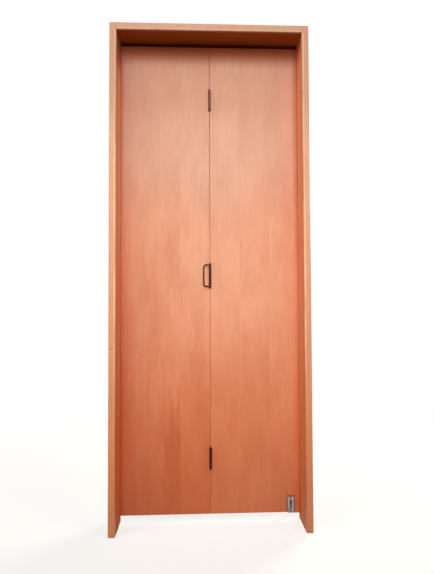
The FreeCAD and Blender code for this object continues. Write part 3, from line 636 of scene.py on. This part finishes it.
def veneer(name):
    """Satin veneer in upright strips."""
    material, shade = new_finish(name)
    spot = metres(shade)
    marks = veneer_figure(spot)
    marks.update(veneer_age_and_painted_light(spot, marks))
    calmed = (total(marks, **FIGURE) - FIGURE_MEAN) * (1 - RIGHT_CALM * marks["right"])
    marks["paleness"] = calmed + total(marks, **PALENESS)
    wood = mixed(marks["paleness"], VENEER_RED, VENEER_TAN)
    aged_and_shaded = mixed(total(marks, **VENEER_AGE_AND_SHADE), wood, VENEER_DEEP)
    toned = scaled(aged_and_shaded, total(marks, **VENEER_TONE))
    veined = mixed(total(marks, **VENEER_DARK_SPOTS), toned, VENEER_PORE)
    surface(
        shade,
        {
            "Base Color": mixed(CHECK_SHARE * marks["check"], veined, VENEER_PORE),
            "Roughness": total(marks, **VENEER_ROUGHNESS),
            "Specular IOR Level": VARNISH_GLOSS,
            "Normal": relief(marks["flecks"] - marks["pores"], *VENEER_RELIEF),
        },
    )
    return material


leaf_veneer = veneer("leaf_veneer_strips")
print("leaf veneer:", len(leaf_veneer.node_tree.nodes), "nodes")

# %% [markdown]
# ## Core wood
# Stiles, rails and battens only show on the edges of the leaves. They are plain sawn softwood, paler than the
# veneer and dry, so they have wide growth lines, no varnish and a rough surface.

# %% Core wood
CORE_PALE = paint(214, 164, 118)
CORE_LINE = paint(186, 122, 78)
CORE_LINES = {"scale": (150.0, 150.0, 3.0), "detail": 2.0}
CORE_LINE_EDGES = (0.40, 0.66)
CORE_SAW_MARKS = {"scale": (260.0, 260.0, 420.0), "detail": 1.0}
CORE_TONE = {"plain": 0.9, "saw_marks": 0.2}
CORE_ROUGHNESS = {"plain": 0.62, "saw_marks": 0.2}
CORE_RELIEF = (0.0003, 0.3)


def core_wood(name):
    """Sawn softwood."""
    material, shade = new_finish(name)
    spot = metres(shade)
    lines = step(noise(spot, **CORE_LINES), *CORE_LINE_EDGES)
    marks = {"saw_marks": noise(spot, **CORE_SAW_MARKS)}
    surface(
        shade,
        {
            "Base Color": scaled(mixed(lines, CORE_PALE, CORE_LINE), total(marks, **CORE_TONE)),
            "Roughness": total(marks, **CORE_ROUGHNESS),
            "Normal": relief(marks["saw_marks"] + lines, *CORE_RELIEF),
        },
    )
    return material


core_timber = core_wood("core_wood_sawn")
print("core wood:", len(core_timber.node_tree.nodes), "nodes")

# %% [markdown]
# ## Dark bronze for the hinges and the bail
# The hinges have a dark brown finish that is dull where it is old and smoother where hands and use have
# polished it. A metal's colour is the colour of its reflections, so the brown goes into Base Color with
# Metallic near one, and the wear goes into the roughness. A painted reflection of the sky lies in the colour
# too,
# stronger the higher the hinge: the lower one is a dark red brown, and the upper one is painted a purplish
# grey.

# %% Dark bronze
BRONZE_DARK = paint(62, 14, 4)
BRONZE_WORN = paint(112, 52, 30)
BRONZE_SKY_SHEEN = paint(128, 84, 80)
BRONZE_CLOUDS = {"scale": (90.0, 90.0, 60.0), "detail": 4.0}
BRONZE_GRIT = {"scale": (1500.0, 1500.0, 1500.0), "detail": 2.0}
BRONZE_SHEEN_HEIGHT = (0.6, 1.9)
BRONZE_SHEEN_SHARE = 0.36
BRONZE_WORN_EDGES = (0.45, 0.75)
BRONZE_WORN_LOW = 0.4
BRONZE_METALLIC = {"plain": 0.88, "worn": 0.1}
BRONZE_ROUGHNESS = {"plain": 0.36, "worn": -0.10, "grit": 0.10}
BRONZE_RELIEF = (0.0001, 0.2)


def dark_bronze(name):
    """Old dark bronze, polished in places, with a painted sky reflection that grows with height."""
    material, shade = new_finish(name)
    spot = metres(shade)
    # A painted reflection of the sky, stronger higher up.
    sheen_high = step(split(spot).other("Z"), *BRONZE_SHEEN_HEIGHT)
    polished = step(noise(spot, **BRONZE_CLOUDS), *BRONZE_WORN_EDGES)
    marks = {"worn": polished * raised(sheen_high, BRONZE_WORN_LOW), "grit": noise(spot, **BRONZE_GRIT)}
    brown = mixed(marks["worn"], BRONZE_DARK, BRONZE_WORN)
    surface(
        shade,
        {
            "Base Color": mixed(BRONZE_SHEEN_SHARE * sheen_high, brown, BRONZE_SKY_SHEEN),
            "Metallic": total(marks, **BRONZE_METALLIC),
            "Roughness": total(marks, **BRONZE_ROUGHNESS),
            "Normal": relief(marks["grit"], *BRONZE_RELIEF),
        },
    )
    return material


hinge_bronze = dark_bronze("hinge_bronze_dark")
print("bronze:", len(hinge_bronze.node_tree.nodes), "nodes")

# %% [markdown]
# ## Zinc for the pivot fittings
# The pivot plate, its bolt and the screws are zinc plated. Plating grows in small crystals, the spangle, that
# each reflect a little differently. A Voronoi texture gives every crystal its own grey and its own gloss.
# The pivot plate is darker along its rim, and its screws are a darker grey.

# %% Zinc
ZINC_LIGHT = paint(170, 158, 160)
ZINC_DULL = paint(126, 114, 116)
ZINC_GREY = paint(104, 94, 94)
ZINC_DARK = paint(66, 56, 56)
ZINC_RIM_DARK = paint(58, 40, 36)
RIM_WIDTH = 0.0035
RIM_DARKENING = 0.85
CRYSTALS = 260.0
ZINC_STAINS = {"scale": (70.0, 70.0, 70.0), "detail": 3.0}
ZINC_STAIN_EDGES = (0.42, 0.68)
ZINC_DULLED = {"stains": 0.6, "spangle": 0.4}
ZINC_METALLIC = {"plain": 0.95, "stains": -0.25}
ZINC_ROUGHNESS = {"plain": 0.32, "spangle": 0.14, "stains": 0.14}
ZINC_RELIEF = (0.00005, 0.15)


def zinc(name, light, dull, dark_at_rim):
    """Zinc plating with a fine spangle, darker along the rim of the pivot plate."""
    material, shade = new_finish(name)
    spot = metres(shade)
    across = split(spot)
    rim = step(outside_plate(across, across.other("Z")), -RIM_WIDTH, 0.0)
    crystals = shade.node("ShaderNodeTexVoronoi", {}, {"Vector": spot, "Scale": CRYSTALS}, take="Color")
    marks = {
        "spangle": shade.node("ShaderNodeSeparateColor", {}, {"Color": crystals}),
        "stains": step(noise(spot, **ZINC_STAINS), *ZINC_STAIN_EDGES),
    }
    plating = mixed(total(marks, **ZINC_DULLED), light, dull)
    surface(
        shade,
        {
            "Base Color": mixed(dark_at_rim * rim, plating, ZINC_RIM_DARK),
            "Metallic": total(marks, **ZINC_METALLIC),
            "Roughness": total(marks, **ZINC_ROUGHNESS),
            "Normal": relief(marks["spangle"], *ZINC_RELIEF),
        },
    )
    return material


zinc_plain = zinc("zinc_spangle", ZINC_LIGHT, ZINC_DULL, 0.0)
zinc_plate = zinc("zinc_dark_rim_plate", ZINC_LIGHT, ZINC_DULL, RIM_DARKENING)
zinc_screw = zinc("zinc_old_screw", ZINC_GREY, ZINC_DARK, 0.0)
print("zinc:", len(zinc_plate.node_tree.nodes), "nodes")

# %% [markdown]
# ## Black track
# The track is painted in a matt, warm black and carries a little dust, which lies in streaks along it. Matt
# paint hardly reflects, so its specular level is low.

# %% Black track
TRACK_BLACK = paint(62, 17, 8)
TRACK_DUST = paint(72, 32, 18)
DUST_STREAKS = {"scale": (40.0, 120.0, 120.0), "detail": 4.0}
DUST_EDGES = (0.50, 0.80)
DUST_SHARE = 0.5
ORANGE_PEEL = {"scale": (900.0, 900.0, 900.0), "detail": 1.0}
TRACK_ROUGHNESS = {"plain": 0.55, "dust": 0.3}
TRACK_GLOSS = 0.1
TRACK_RELIEF = (0.0001, 0.15)


def black_track(name):
    """Matt black paint with dust on it."""
    material, shade = new_finish(name)
    spot = metres(shade)
    marks = {"dust": step(noise(spot, **DUST_STREAKS), *DUST_EDGES)}
    surface(
        shade,
        {
            "Base Color": mixed(DUST_SHARE * marks["dust"], TRACK_BLACK, TRACK_DUST),
            "Roughness": total(marks, **TRACK_ROUGHNESS),
            "Specular IOR Level": TRACK_GLOSS,
            "Normal": relief(noise(spot, **ORANGE_PEEL), *TRACK_RELIEF),
        },
    )
    return material


track_black = black_track("track_black_dusty")
print("track:", len(track_black.node_tree.nodes), "nodes")

# %% [markdown]
# ## Pale nylon
# The roller, the socket block and the bush are moulded nylon: off-white, with a faint flow of the moulding
# and a dull skin.

# %% Nylon
NYLON_WHITE = paint(226, 222, 210)
NYLON_SHADE = paint(204, 198, 182)
NYLON_FLOW = {"scale": (120.0, 120.0, 300.0), "detail": 3.0}
NYLON_SKIN = {"scale": (1400.0, 1400.0, 1400.0), "detail": 1.0}
NYLON_ROUGHNESS = {"plain": 0.42, "skin": 0.16}
NYLON_RELIEF = (0.00005, 0.2)


def nylon(name):
    """Moulded nylon."""
    material, shade = new_finish(name)
    spot = metres(shade)
    marks = {"skin": noise(spot, **NYLON_SKIN)}
    surface(
        shade,
        {
            "Base Color": mixed(noise(spot, **NYLON_FLOW), NYLON_WHITE, NYLON_SHADE),
            "Roughness": total(marks, **NYLON_ROUGHNESS),
            "Normal": relief(marks["skin"], *NYLON_RELIEF),
        },
    )
    return material


moulded_nylon = nylon("nylon_moulded")
print("nylon:", len(moulded_nylon.node_tree.nodes), "nodes")

# %% [markdown]
# ## Giving each piece its finish
# The imported record says which material slot each piece belongs to, so one table from slot to finish dresses
# every piece. Three pieces differ: the head, whose wood lies on its side, the pivot plate, which is darker
# along its rim, and its screws, which are a darker grey than the rest of the zinc.

# %% Dress the imported pieces
FINISHES = {
    "frame_wood": upright_wood,
    "leaf_veneer": leaf_veneer,
    "core_wood": core_timber,
    "hinge_bronze": hinge_bronze,
    "track_black": track_black,
    "zinc_steel": zinc_plain,
    "nylon": moulded_nylon,
}


def dress(piece, material):
    """Give a piece one finish all over."""
    piece.data.materials.clear()
    piece.data.materials.append(material)


for subpart in frame["record"]["subparts"]:
    dress(nodes[subpart["node"]], FINISHES[subpart["material_slot"]])
dress(nodes["head_jamb"], lying_wood)
dress(nodes["pivot_plate"], zinc_plate)
dress(nodes["pivot_plate_screws"], zinc_screw)
print("dressed", len(nodes), "pieces")

# %% [markdown]
# ## Tools for modelling
# New pieces are modelled as by hand: a primitive to start from, edit mode, and operators that act on what is
# selected. These helpers open a piece, select its edges by place, and close it with its faces outwards.

# %% Tools for modelling
UP = Vector((0.0, 0.0, 1.0))
MERGE_DISTANCE = 1e-6
SMOOTH_ANGLE = 40.0


def only(piece):
    """Select one piece alone, as the active one."""
    bpy.ops.object.select_all(action="DESELECT")
    piece.select_set(True)
    bpy.context.view_layer.objects.active = piece


def edit_only(piece):
    """Open one piece alone in edit mode, with nothing selected in it."""
    only(piece)
    bpy.ops.object.mode_set(mode="EDIT")
    bpy.ops.mesh.select_all(action="DESELECT")


def pick_edges(piece, wanted):
    """Select the edges whose two end points answer the question, and count them."""
    bpy.ops.mesh.select_mode(type="EDGE")
    bpy.ops.mesh.select_all(action="DESELECT")
    bpy.ops.object.mode_set(mode="OBJECT")
    points = piece.data.vertices
    for edge in piece.data.edges:
        first, second = edge.vertices
        edge.select = wanted(points[first].co, points[second].co)
    bpy.ops.object.mode_set(mode="EDIT")
    return sum(edge.select for edge in piece.data.edges)


def extrude(move):
    """Extrude what is selected along a vector."""
    bpy.ops.mesh.extrude_region_move(TRANSFORM_OT_translate={"value": tuple(move)})


def close_up(angle=SMOOTH_ANGLE):
    """Merge doubles, point the faces outwards, leave edit mode and smooth all but the sharp edges."""
    bpy.ops.mesh.select_all(action="SELECT")
    bpy.ops.mesh.remove_doubles(threshold=MERGE_DISTANCE)
    bpy.ops.mesh.normals_make_consistent(inside=False)
    bpy.ops.object.mode_set(mode="OBJECT")
    bpy.ops.object.shade_smooth_by_angle(angle=math.radians(angle))


print("edit tools are ready")

# %% [markdown]
# ## Placing finished pieces
# A finished piece keeps its place in its mesh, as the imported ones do, so that the finishes, which read Object
# coordinates, fall on it in the same way. It then rides on the body that it moves with, and hides the packed
# piece that it stands for.


# %% Tools for finished pieces
def settle(piece):
    """Put the piece's place into its mesh, so that its object sits at the origin."""
    only(piece)
    bpy.ops.object.transform_apply(location=True, rotation=True, scale=True)


def copied(piece, name, lift):
    """A copy of a piece with a mesh of its own, lifted by a height."""
    copy = piece.copy()
    copy.data = piece.data.copy()
    copy.name = name
    copy.location = lift * UP
    bpy.context.scene.collection.objects.link(copy)
    settle(copy)
    return copy


def stand_in_for(piece, body, slot, *replaced):
    """Let a finished piece ride on its body, take its slot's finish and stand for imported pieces."""
    dress(piece, FINISHES[slot])
    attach(piece, body)
    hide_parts(*replaced)


print("pieces can be settled, copied and put on their bodies")

# %% [markdown]
# ## Eased edges on the leaves
# A sharp veneered edge would splinter, so the maker takes it off with sandpaper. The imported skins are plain
# sheets with sharp edges. Each one is copied, its loose triangles are merged into whole faces, and the edges
# round its outer face get a small bevel. The holes for the fittings stay sharp. The edges where the two
# leaves meet are touched each time the door is opened, so they are rounder, and the two bevels form the fine
# groove that shows as a line down the middle.

# %% Leaf skins
EASE = 0.0005
MEETING_EASE = 0.0012
EASE_STEPS = 3
EASE_ANGLE = 8.0
FLAT_ANGLE = 1.0
TOUCHING = 1e-5
X_AXIS, Z_AXIS = 0, 2


def whole_faces(piece):
    """Merge the loose triangles of a copied node into whole faces."""
    edit_only(piece)
    bpy.ops.mesh.select_all(action="SELECT")
    bpy.ops.mesh.remove_doubles(threshold=TOUCHING)
    bpy.ops.mesh.customdata_custom_splitnormals_clear()
    bpy.ops.mesh.dissolve_limited(angle_limit=math.radians(FLAT_ANGLE))
    bpy.ops.object.mode_set(mode="OBJECT")


def ease_rims(piece, face_y, rims, size):
    """Bevel the edges of one face that lie on rims, which are pairs of an axis and a place on it."""

    def on_rim(first, second):
        """Whether an edge lies in the face and along one of the rims."""
        if max(abs(first.y - face_y), abs(second.y - face_y)) > TOUCHING:
            return False
        return any(max(abs(first[axis] - at), abs(second[axis] - at)) < TOUCHING for axis, at in rims)

    edges = pick_edges(piece, on_rim)
    bpy.ops.mesh.bevel(offset=size, segments=EASE_STEPS, affect="EDGES", clamp_overlap=True)
    return edges


def eased_skin(side, face):
    """A copy of a skin with the edges round its outer face eased."""
    node = f"{side}_leaf_{face}_skin"
    piece = bpy.data.objects.new(f"{side}_leaf_{face}_sheet", nodes[node].data.copy())
    bpy.context.scene.collection.objects.link(piece)
    whole_faces(piece)
    low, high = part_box(node)
    face_y = low.y if face == "front" else high.y
    on_face = [point.co.x for point in piece.data.vertices if abs(point.co.y - face_y) < TOUCHING]
    meeting_side, outer_side = min(on_face, key=abs), max(on_face, key=abs)
    edit_only(piece)
    edges = ease_rims(piece, face_y, [(X_AXIS, meeting_side)], MEETING_EASE)
    edges += ease_rims(piece, face_y, [(X_AXIS, outer_side), (Z_AXIS, low.z), (Z_AXIS, high.z)], EASE)
    close_up(EASE_ANGLE)
    stand_in_for(piece, f"{side}_leaf", "leaf_veneer", node)
    print(f"{piece.name}: {edges} edges eased, {len(piece.data.polygons)} faces")


for leaf_side in ("left", "right"):
    for leaf_face in ("front", "back"):
        eased_skin(leaf_side, leaf_face)

# %% [markdown]
# ## Turning on the hinge's axis
# Each hinge has a loose pin with a small turned finial on top, and a tip of the same shape screwed on below.
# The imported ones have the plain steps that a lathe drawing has. Here the outline is drawn with soft curves:
# a single point is extruded from place to place round half the section, and the line is then spun about
# the hinge's axis.

# %% An outline and its spin
pin_low, pin_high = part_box("upper_hinge_pin")
HINGE_AXIS = Vector(((pin_low.x + pin_high.x) / 2, (pin_low.y + pin_high.y) / 2, 0.0))
SPIN_STEPS = 32
SEED_SIZE = 0.001
FINIAL = [
    (0.0, 0.0),
    (0.0049, 0.0),
    (0.0053, 0.0002),
    (0.0055, 0.0006),
    (0.0054, 0.0011),
    (0.0050, 0.0015),
    (0.0044, 0.0018),
    (0.0041, 0.0024),
    (0.0040, 0.0033),
    (0.0037, 0.0043),
    (0.0031, 0.0053),
    (0.0023, 0.0062),
    (0.0014, 0.0070),
    (0.0007, 0.0074),
    (0.0, 0.0075),
]
FINIAL_HEIGHT = FINIAL[-1][1]


def turned(name, outline, height):
    """Spin an outline of (radius, height) pairs about the hinge axis, and lift it to a height."""
    bpy.ops.object.select_all(action="DESELECT")
    bpy.ops.mesh.primitive_plane_add(size=SEED_SIZE)
    piece = bpy.context.object
    piece.name = name
    bpy.ops.object.mode_set(mode="EDIT")
    bpy.ops.mesh.select_mode(type="VERT")
    bpy.ops.mesh.select_all(action="SELECT")
    bpy.ops.mesh.merge(type="CENTER")
    here = Vector((outline[0][0], 0.0, outline[0][1]))
    bpy.ops.transform.translate(value=tuple(HINGE_AXIS + here))
    for radius, level in outline[1:]:
        there = Vector((radius, 0.0, level))
        extrude(there - here)
        here = there
    bpy.ops.mesh.select_all(action="SELECT")
    bpy.ops.mesh.spin(steps=SPIN_STEPS, angle=math.tau, center=tuple(HINGE_AXIS), axis=tuple(UP))
    close_up()
    piece.location.z = height
    settle(piece)
    return piece


print(f"finials {1000 * FINIAL_HEIGHT:.1f} mm tall")

# %% [markdown]
# ## Turned hinge pins
# A pin is its straight stem with the finial on top, in one outline. The upper pin is copied to the lower
# hinge. The middle one is longer, because the bail hangs on it, so it is turned by itself.

# %% Pins
PIN_RADIUS = 0.003


def pin_seat(hinge):
    """The height at which a pin's finial sits on its barrel."""
    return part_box(f"{hinge}_hinge_pin")[1].z - FINIAL_HEIGHT


def turned_pin(hinge):
    """A hinge's pin with its finial."""
    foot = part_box(f"{hinge}_hinge_pin")[0].z - pin_seat(hinge)
    stem = [(0.0, foot), (PIN_RADIUS, foot), (PIN_RADIUS, 0.0)]
    return turned(f"{hinge}_turned_pin", stem + FINIAL[1:], pin_seat(hinge))


upper_pin = turned_pin("upper")
pins = {
    "upper": upper_pin,
    "middle": turned_pin("middle"),
    "lower": copied(upper_pin, "lower_turned_pin", pin_seat("lower") - pin_seat("upper")),
}
for hinge, pin in pins.items():
    stand_in_for(pin, "right_leaf", "hinge_bronze", f"{hinge}_hinge_pin")
print("turned pins:", ", ".join(pin.name for pin in pins.values()))

# %% [markdown]
# ## Turned tips
# A tip is the finial upside down, with a socket for the end of the pin. One tip is turned, copied to the
# other two hinges and joined with its copies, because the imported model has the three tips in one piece.

# %% Tips
SOCKET_RADIUS = 0.00305
SOCKET_DEPTH = 0.0034
TIP_SOCKET = [(0.0, SOCKET_DEPTH), (SOCKET_RADIUS, SOCKET_DEPTH), (SOCKET_RADIUS, 0.0)]


def tip_seat(hinge):
    """The height at which a tip hangs under its barrel: its pin's seat, mirrored in the hinge's middle."""
    low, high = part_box(f"{hinge}_hinge_right_flap")
    return low.z + high.z - pin_seat(hinge)


tip_outline = [(radius, -height) for radius, height in TIP_SOCKET + FINIAL[1:]]
tips = turned("turned_tips", tip_outline, tip_seat("upper"))
tip_copies = []
for hinge in ("middle", "lower"):
    tip_copies.append(copied(tips, f"{hinge}_tip", tip_seat(hinge) - tip_seat("upper")))
only(tips)
for tip in tip_copies:
    tip.select_set(True)
bpy.ops.object.join()
stand_in_for(tips, "right_leaf", "hinge_bronze", "hinge_tips")
print(f"{tips.name}: {len(tips.data.polygons)} faces")

# %% [markdown]
# ## The bail's wire
# The pull is one length of round wire, bent twice at right angles, whose ends are forged into eyes that turn
# on the middle hinge pin. A curve with a round section would give a wire too. Here a disc is extruded and
# spun along the wire's way, which gives true bends.

# %% Bail wire
BAIL_WIRE = 0.0065
BAIL_REACH = 0.0315
BAIL_BEND = 0.012
BAIL_TURN = math.radians(25)
EYE_BORE = 0.00305
EYE_RADIUS = 0.006
WIRE_SIDES = 24
BEND_STEPS = 8
bail_low, bail_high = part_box("bail_handle")
ARM_UP = bail_high.z - BAIL_WIRE / 2
ARM_DOWN = bail_low.z + BAIL_WIRE / 2
ARM_FROM = (EYE_BORE + EYE_RADIUS) / 2
OUT = Vector((-math.cos(BAIL_TURN), -math.sin(BAIL_TURN), 0.0))


def bail_wire(name):
    """The bent wire between the two eyes."""
    start = HINGE_AXIS + ARM_FROM * OUT + ARM_UP * UP
    turn = OUT.to_track_quat("Z", "Y").to_euler()
    bpy.ops.object.select_all(action="DESELECT")
    bpy.ops.mesh.primitive_circle_add(
        vertices=WIRE_SIDES, radius=BAIL_WIRE / 2, fill_type="NGON", location=start, rotation=turn
    )
    wire = bpy.context.object
    wire.name = name
    settle(wire)
    edit_only(wire)
    bpy.ops.mesh.select_mode(type="FACE")
    bpy.ops.mesh.select_all(action="SELECT")
    arm = (BAIL_REACH - BAIL_BEND - ARM_FROM) * OUT
    extrude(arm)
    corner = HINGE_AXIS + (BAIL_REACH - BAIL_BEND) * OUT
    upper = corner + (ARM_UP - BAIL_BEND) * UP
    lower = corner + (ARM_DOWN + BAIL_BEND) * UP
    bend = {"steps": BEND_STEPS, "angle": QUARTER_TURN, "axis": tuple(OUT.cross(UP))}
    bpy.ops.mesh.spin(center=tuple(upper), **bend)
    extrude(lower - upper)
    bpy.ops.mesh.spin(center=tuple(lower), **bend)
    extrude(-arm)
    close_up()
    return wire


bail = bail_wire("bail_pull")
print(f"{bail.name}: {len(bail.data.polygons)} faces")

# %% [markdown]
# ## The bail's eyes
# One eye is spun from a rounded outline and copied to the other end, and both are joined to the wire by a
# union, so that the pull is one closed body, as the forged one is.

# %% Bail eyes
EYE_ROUND = 0.0011


def bail_eye(name):
    """The upper eye: a ring with rounded rims."""
    half = BAIL_WIRE / 2
    # The middle of a rounding lies this far inside the two sides that it joins.
    soft = EYE_ROUND * (1 - math.sqrt(0.5))
    section = [
        (EYE_BORE, half - EYE_ROUND),
        (EYE_BORE + soft, half - soft),
        (EYE_BORE + EYE_ROUND, half),
        (EYE_RADIUS - EYE_ROUND, half),
        (EYE_RADIUS - soft, half - soft),
        (EYE_RADIUS, half - EYE_ROUND),
    ]
    ring = section + [(radius, -level) for radius, level in reversed(section)]
    return turned(name, ring + ring[:1], ARM_UP)


def unite(piece, added):
    """Join another closed body to a piece, and remove the other one."""
    only(piece)
    bpy.ops.object.modifier_add(type="BOOLEAN")
    union = piece.modifiers[-1]
    union.operation = "UNION"
    union.object = added
    bpy.ops.object.modifier_apply(modifier=union.name)
    bpy.data.objects.remove(added)


upper_eye = bail_eye("upper_bail_eye")
lower_eye = copied(upper_eye, "lower_bail_eye", ARM_DOWN - ARM_UP)
for eye in (upper_eye, lower_eye):
    unite(bail, eye)
edit_only(bail)
close_up()
stand_in_for(bail, "bail_handle", "hinge_bronze", "bail_handle")
bail_reach = min(point.co.x for point in bail.data.vertices)
print(f"bail reaches {1000 * bail_reach:.1f} mm, the packed one {1000 * bail_low.x:.1f} mm")

# %% [markdown]
# ## The floor
# The door stands on a pale floor that fades into white. A white floor would also throw a lot of light up at
# the door, which the photograph doesn't show, so the floor looks at how a ray reached it: seen directly or in
# a gloss it is white and takes the door's shadow, and to bouncing light it is a dull warm brown.

# %% Floor
FLOOR_SIZE = 16.0
FLOOR_PALE = paint(250, 251, 255)
FLOOR_BOUNCE = (0.05, 0.015, 0.006, 1.0)
FLOOR_GLOW = 0.7
FLOOR_FADE = (0.9, 2.4)


def seen_directly(shade):
    """1 for rays that come from the camera or off a gloss or through glass, and 0 for light that bounces."""
    path = shade.node("ShaderNodeLightPath", take="Is Camera Ray")
    direct = path.math("MAXIMUM", path, path.other("Is Glossy Ray"))
    return direct.math("MAXIMUM", direct, path.other("Is Transmission Ray"))


def floor_finish(name):
    """Pale where it is looked at, warm where it sends light back, and white in the distance."""
    material, shade = new_finish(name)
    direct = seen_directly(shade)
    away = shade.node("ShaderNodeVectorMath", {"operation": "LENGTH"}, {0: metres(shade)}, take="Value")
    board = shade.node("ShaderNodeBsdfDiffuse", {}, {"Color": mixed(direct, FLOOR_BOUNCE, FLOOR_PALE)})
    glow = shade.node("ShaderNodeEmission", {}, {"Color": WHITE, "Strength": 1.0})
    glowing = direct * raised(step(away, *FLOOR_FADE), FLOOR_GLOW)
    both = shade.node("ShaderNodeMixShader", {}, {0: glowing, 1: board, 2: glow})
    shade.node("ShaderNodeOutputMaterial", {}, {"Surface": both})
    return material


bpy.ops.object.select_all(action="DESELECT")
bpy.ops.mesh.primitive_plane_add(size=FLOOR_SIZE)
floor = bpy.context.object
floor.name = "floor"
dress(floor, floor_finish("floor_pale"))
print("floor", FLOOR_SIZE, "m square")

# %% [markdown]
# ## The world
# The world follows the same rule as the floor: white where it is looked at or mirrored, and almost dark to
# bouncing light, so that the lamps alone shape the door. The Standard view shows the colours as they are.

# %% World
AMBIENT = (0.02, 0.019, 0.016, 1.0)

world = bpy.data.worlds.new("white_studio")
bpy.context.scene.world = world
world.use_nodes = True
world.node_tree.nodes.clear()
sky = Shade(world.node_tree)
white = sky.node("ShaderNodeBackground", {}, {"Color": WHITE, "Strength": 1.0})
dim = sky.node("ShaderNodeBackground", {}, {"Color": AMBIENT, "Strength": 1.0})
shown = sky.node("ShaderNodeMixShader", {}, {0: seen_directly(sky), 1: dim, 2: white})
sky.node("ShaderNodeOutputWorld", {}, {"Surface": shown})
bpy.context.scene.view_settings.view_transform = "Standard"
print("world:", world.name)

# %% [markdown]
# ## The light
# The light is that of a yard under an open sky. Two large soft panels stand far off in front, one high and
# one low; the high one leaves the shadow under the head. Two more, high up on either side, light the inner
# faces of the jambs. A weak panel with a narrow beam stands close by and brightens the middle of the leaves,
# and one behind the door serves the views from there. Far panels light the door evenly from top to foot, so
# the colours of the finishes come out about as they are written.

# %% Lamps
SKY_LIGHT = (1.0, 0.96, 0.80)
MIDDLE = (0.0, 0.0, 1.1)
PANELS = {
    "sky_panel": {"place": (0.68, -19.6, 11.1), "aim": MIDDLE, "size": (11.0, 10.2), "power": 1640.0},
    "low_panel": {"place": (1.15, -21.9, 2.6), "aim": MIDDLE, "size": (6.2, 7.8), "power": 780.0},
    "front_panel": {
        "place": (0.0, -1.37, 1.75),
        "aim": (0.0, 0.0, 0.86),
        "size": (5.5, 1.3),
        "power": 9.5,
        "spread": 0.55,
    },
    "left_panel": {"place": (-10.6, -6.2, 9.7), "aim": (0.3, 0.0, 1.1), "size": (6.0, 9.0), "power": 1060.0},
    "right_panel": {"place": (10.6, -6.2, 9.7), "aim": (-0.3, 0.0, 1.1), "size": (6.0, 9.0), "power": 660.0},
    "rear_panel": {"place": (2.8, 2.6, 2.4), "aim": MIDDLE, "size": (1.6, 1.6), "power": 150.0},
}


def panel(name, place, aim, size, power, spread=math.pi):
    """A soft rectangular light that the camera doesn't see."""
    turn = (Vector(aim) - Vector(place)).to_track_quat("-Z", "Y").to_euler()
    bpy.ops.object.light_add(type="AREA", location=place, rotation=turn)
    lamp = bpy.context.object
    lamp.name = name
    lamp.data.shape = "RECTANGLE"
    lamp.data.size, lamp.data.size_y = size
    lamp.data.energy = power
    lamp.data.spread = spread
    lamp.data.color = SKY_LIGHT
    lamp.visible_camera = False


for lamp_name, settings in PANELS.items():
    panel(lamp_name, **settings)
print("panels:", ", ".join(PANELS))
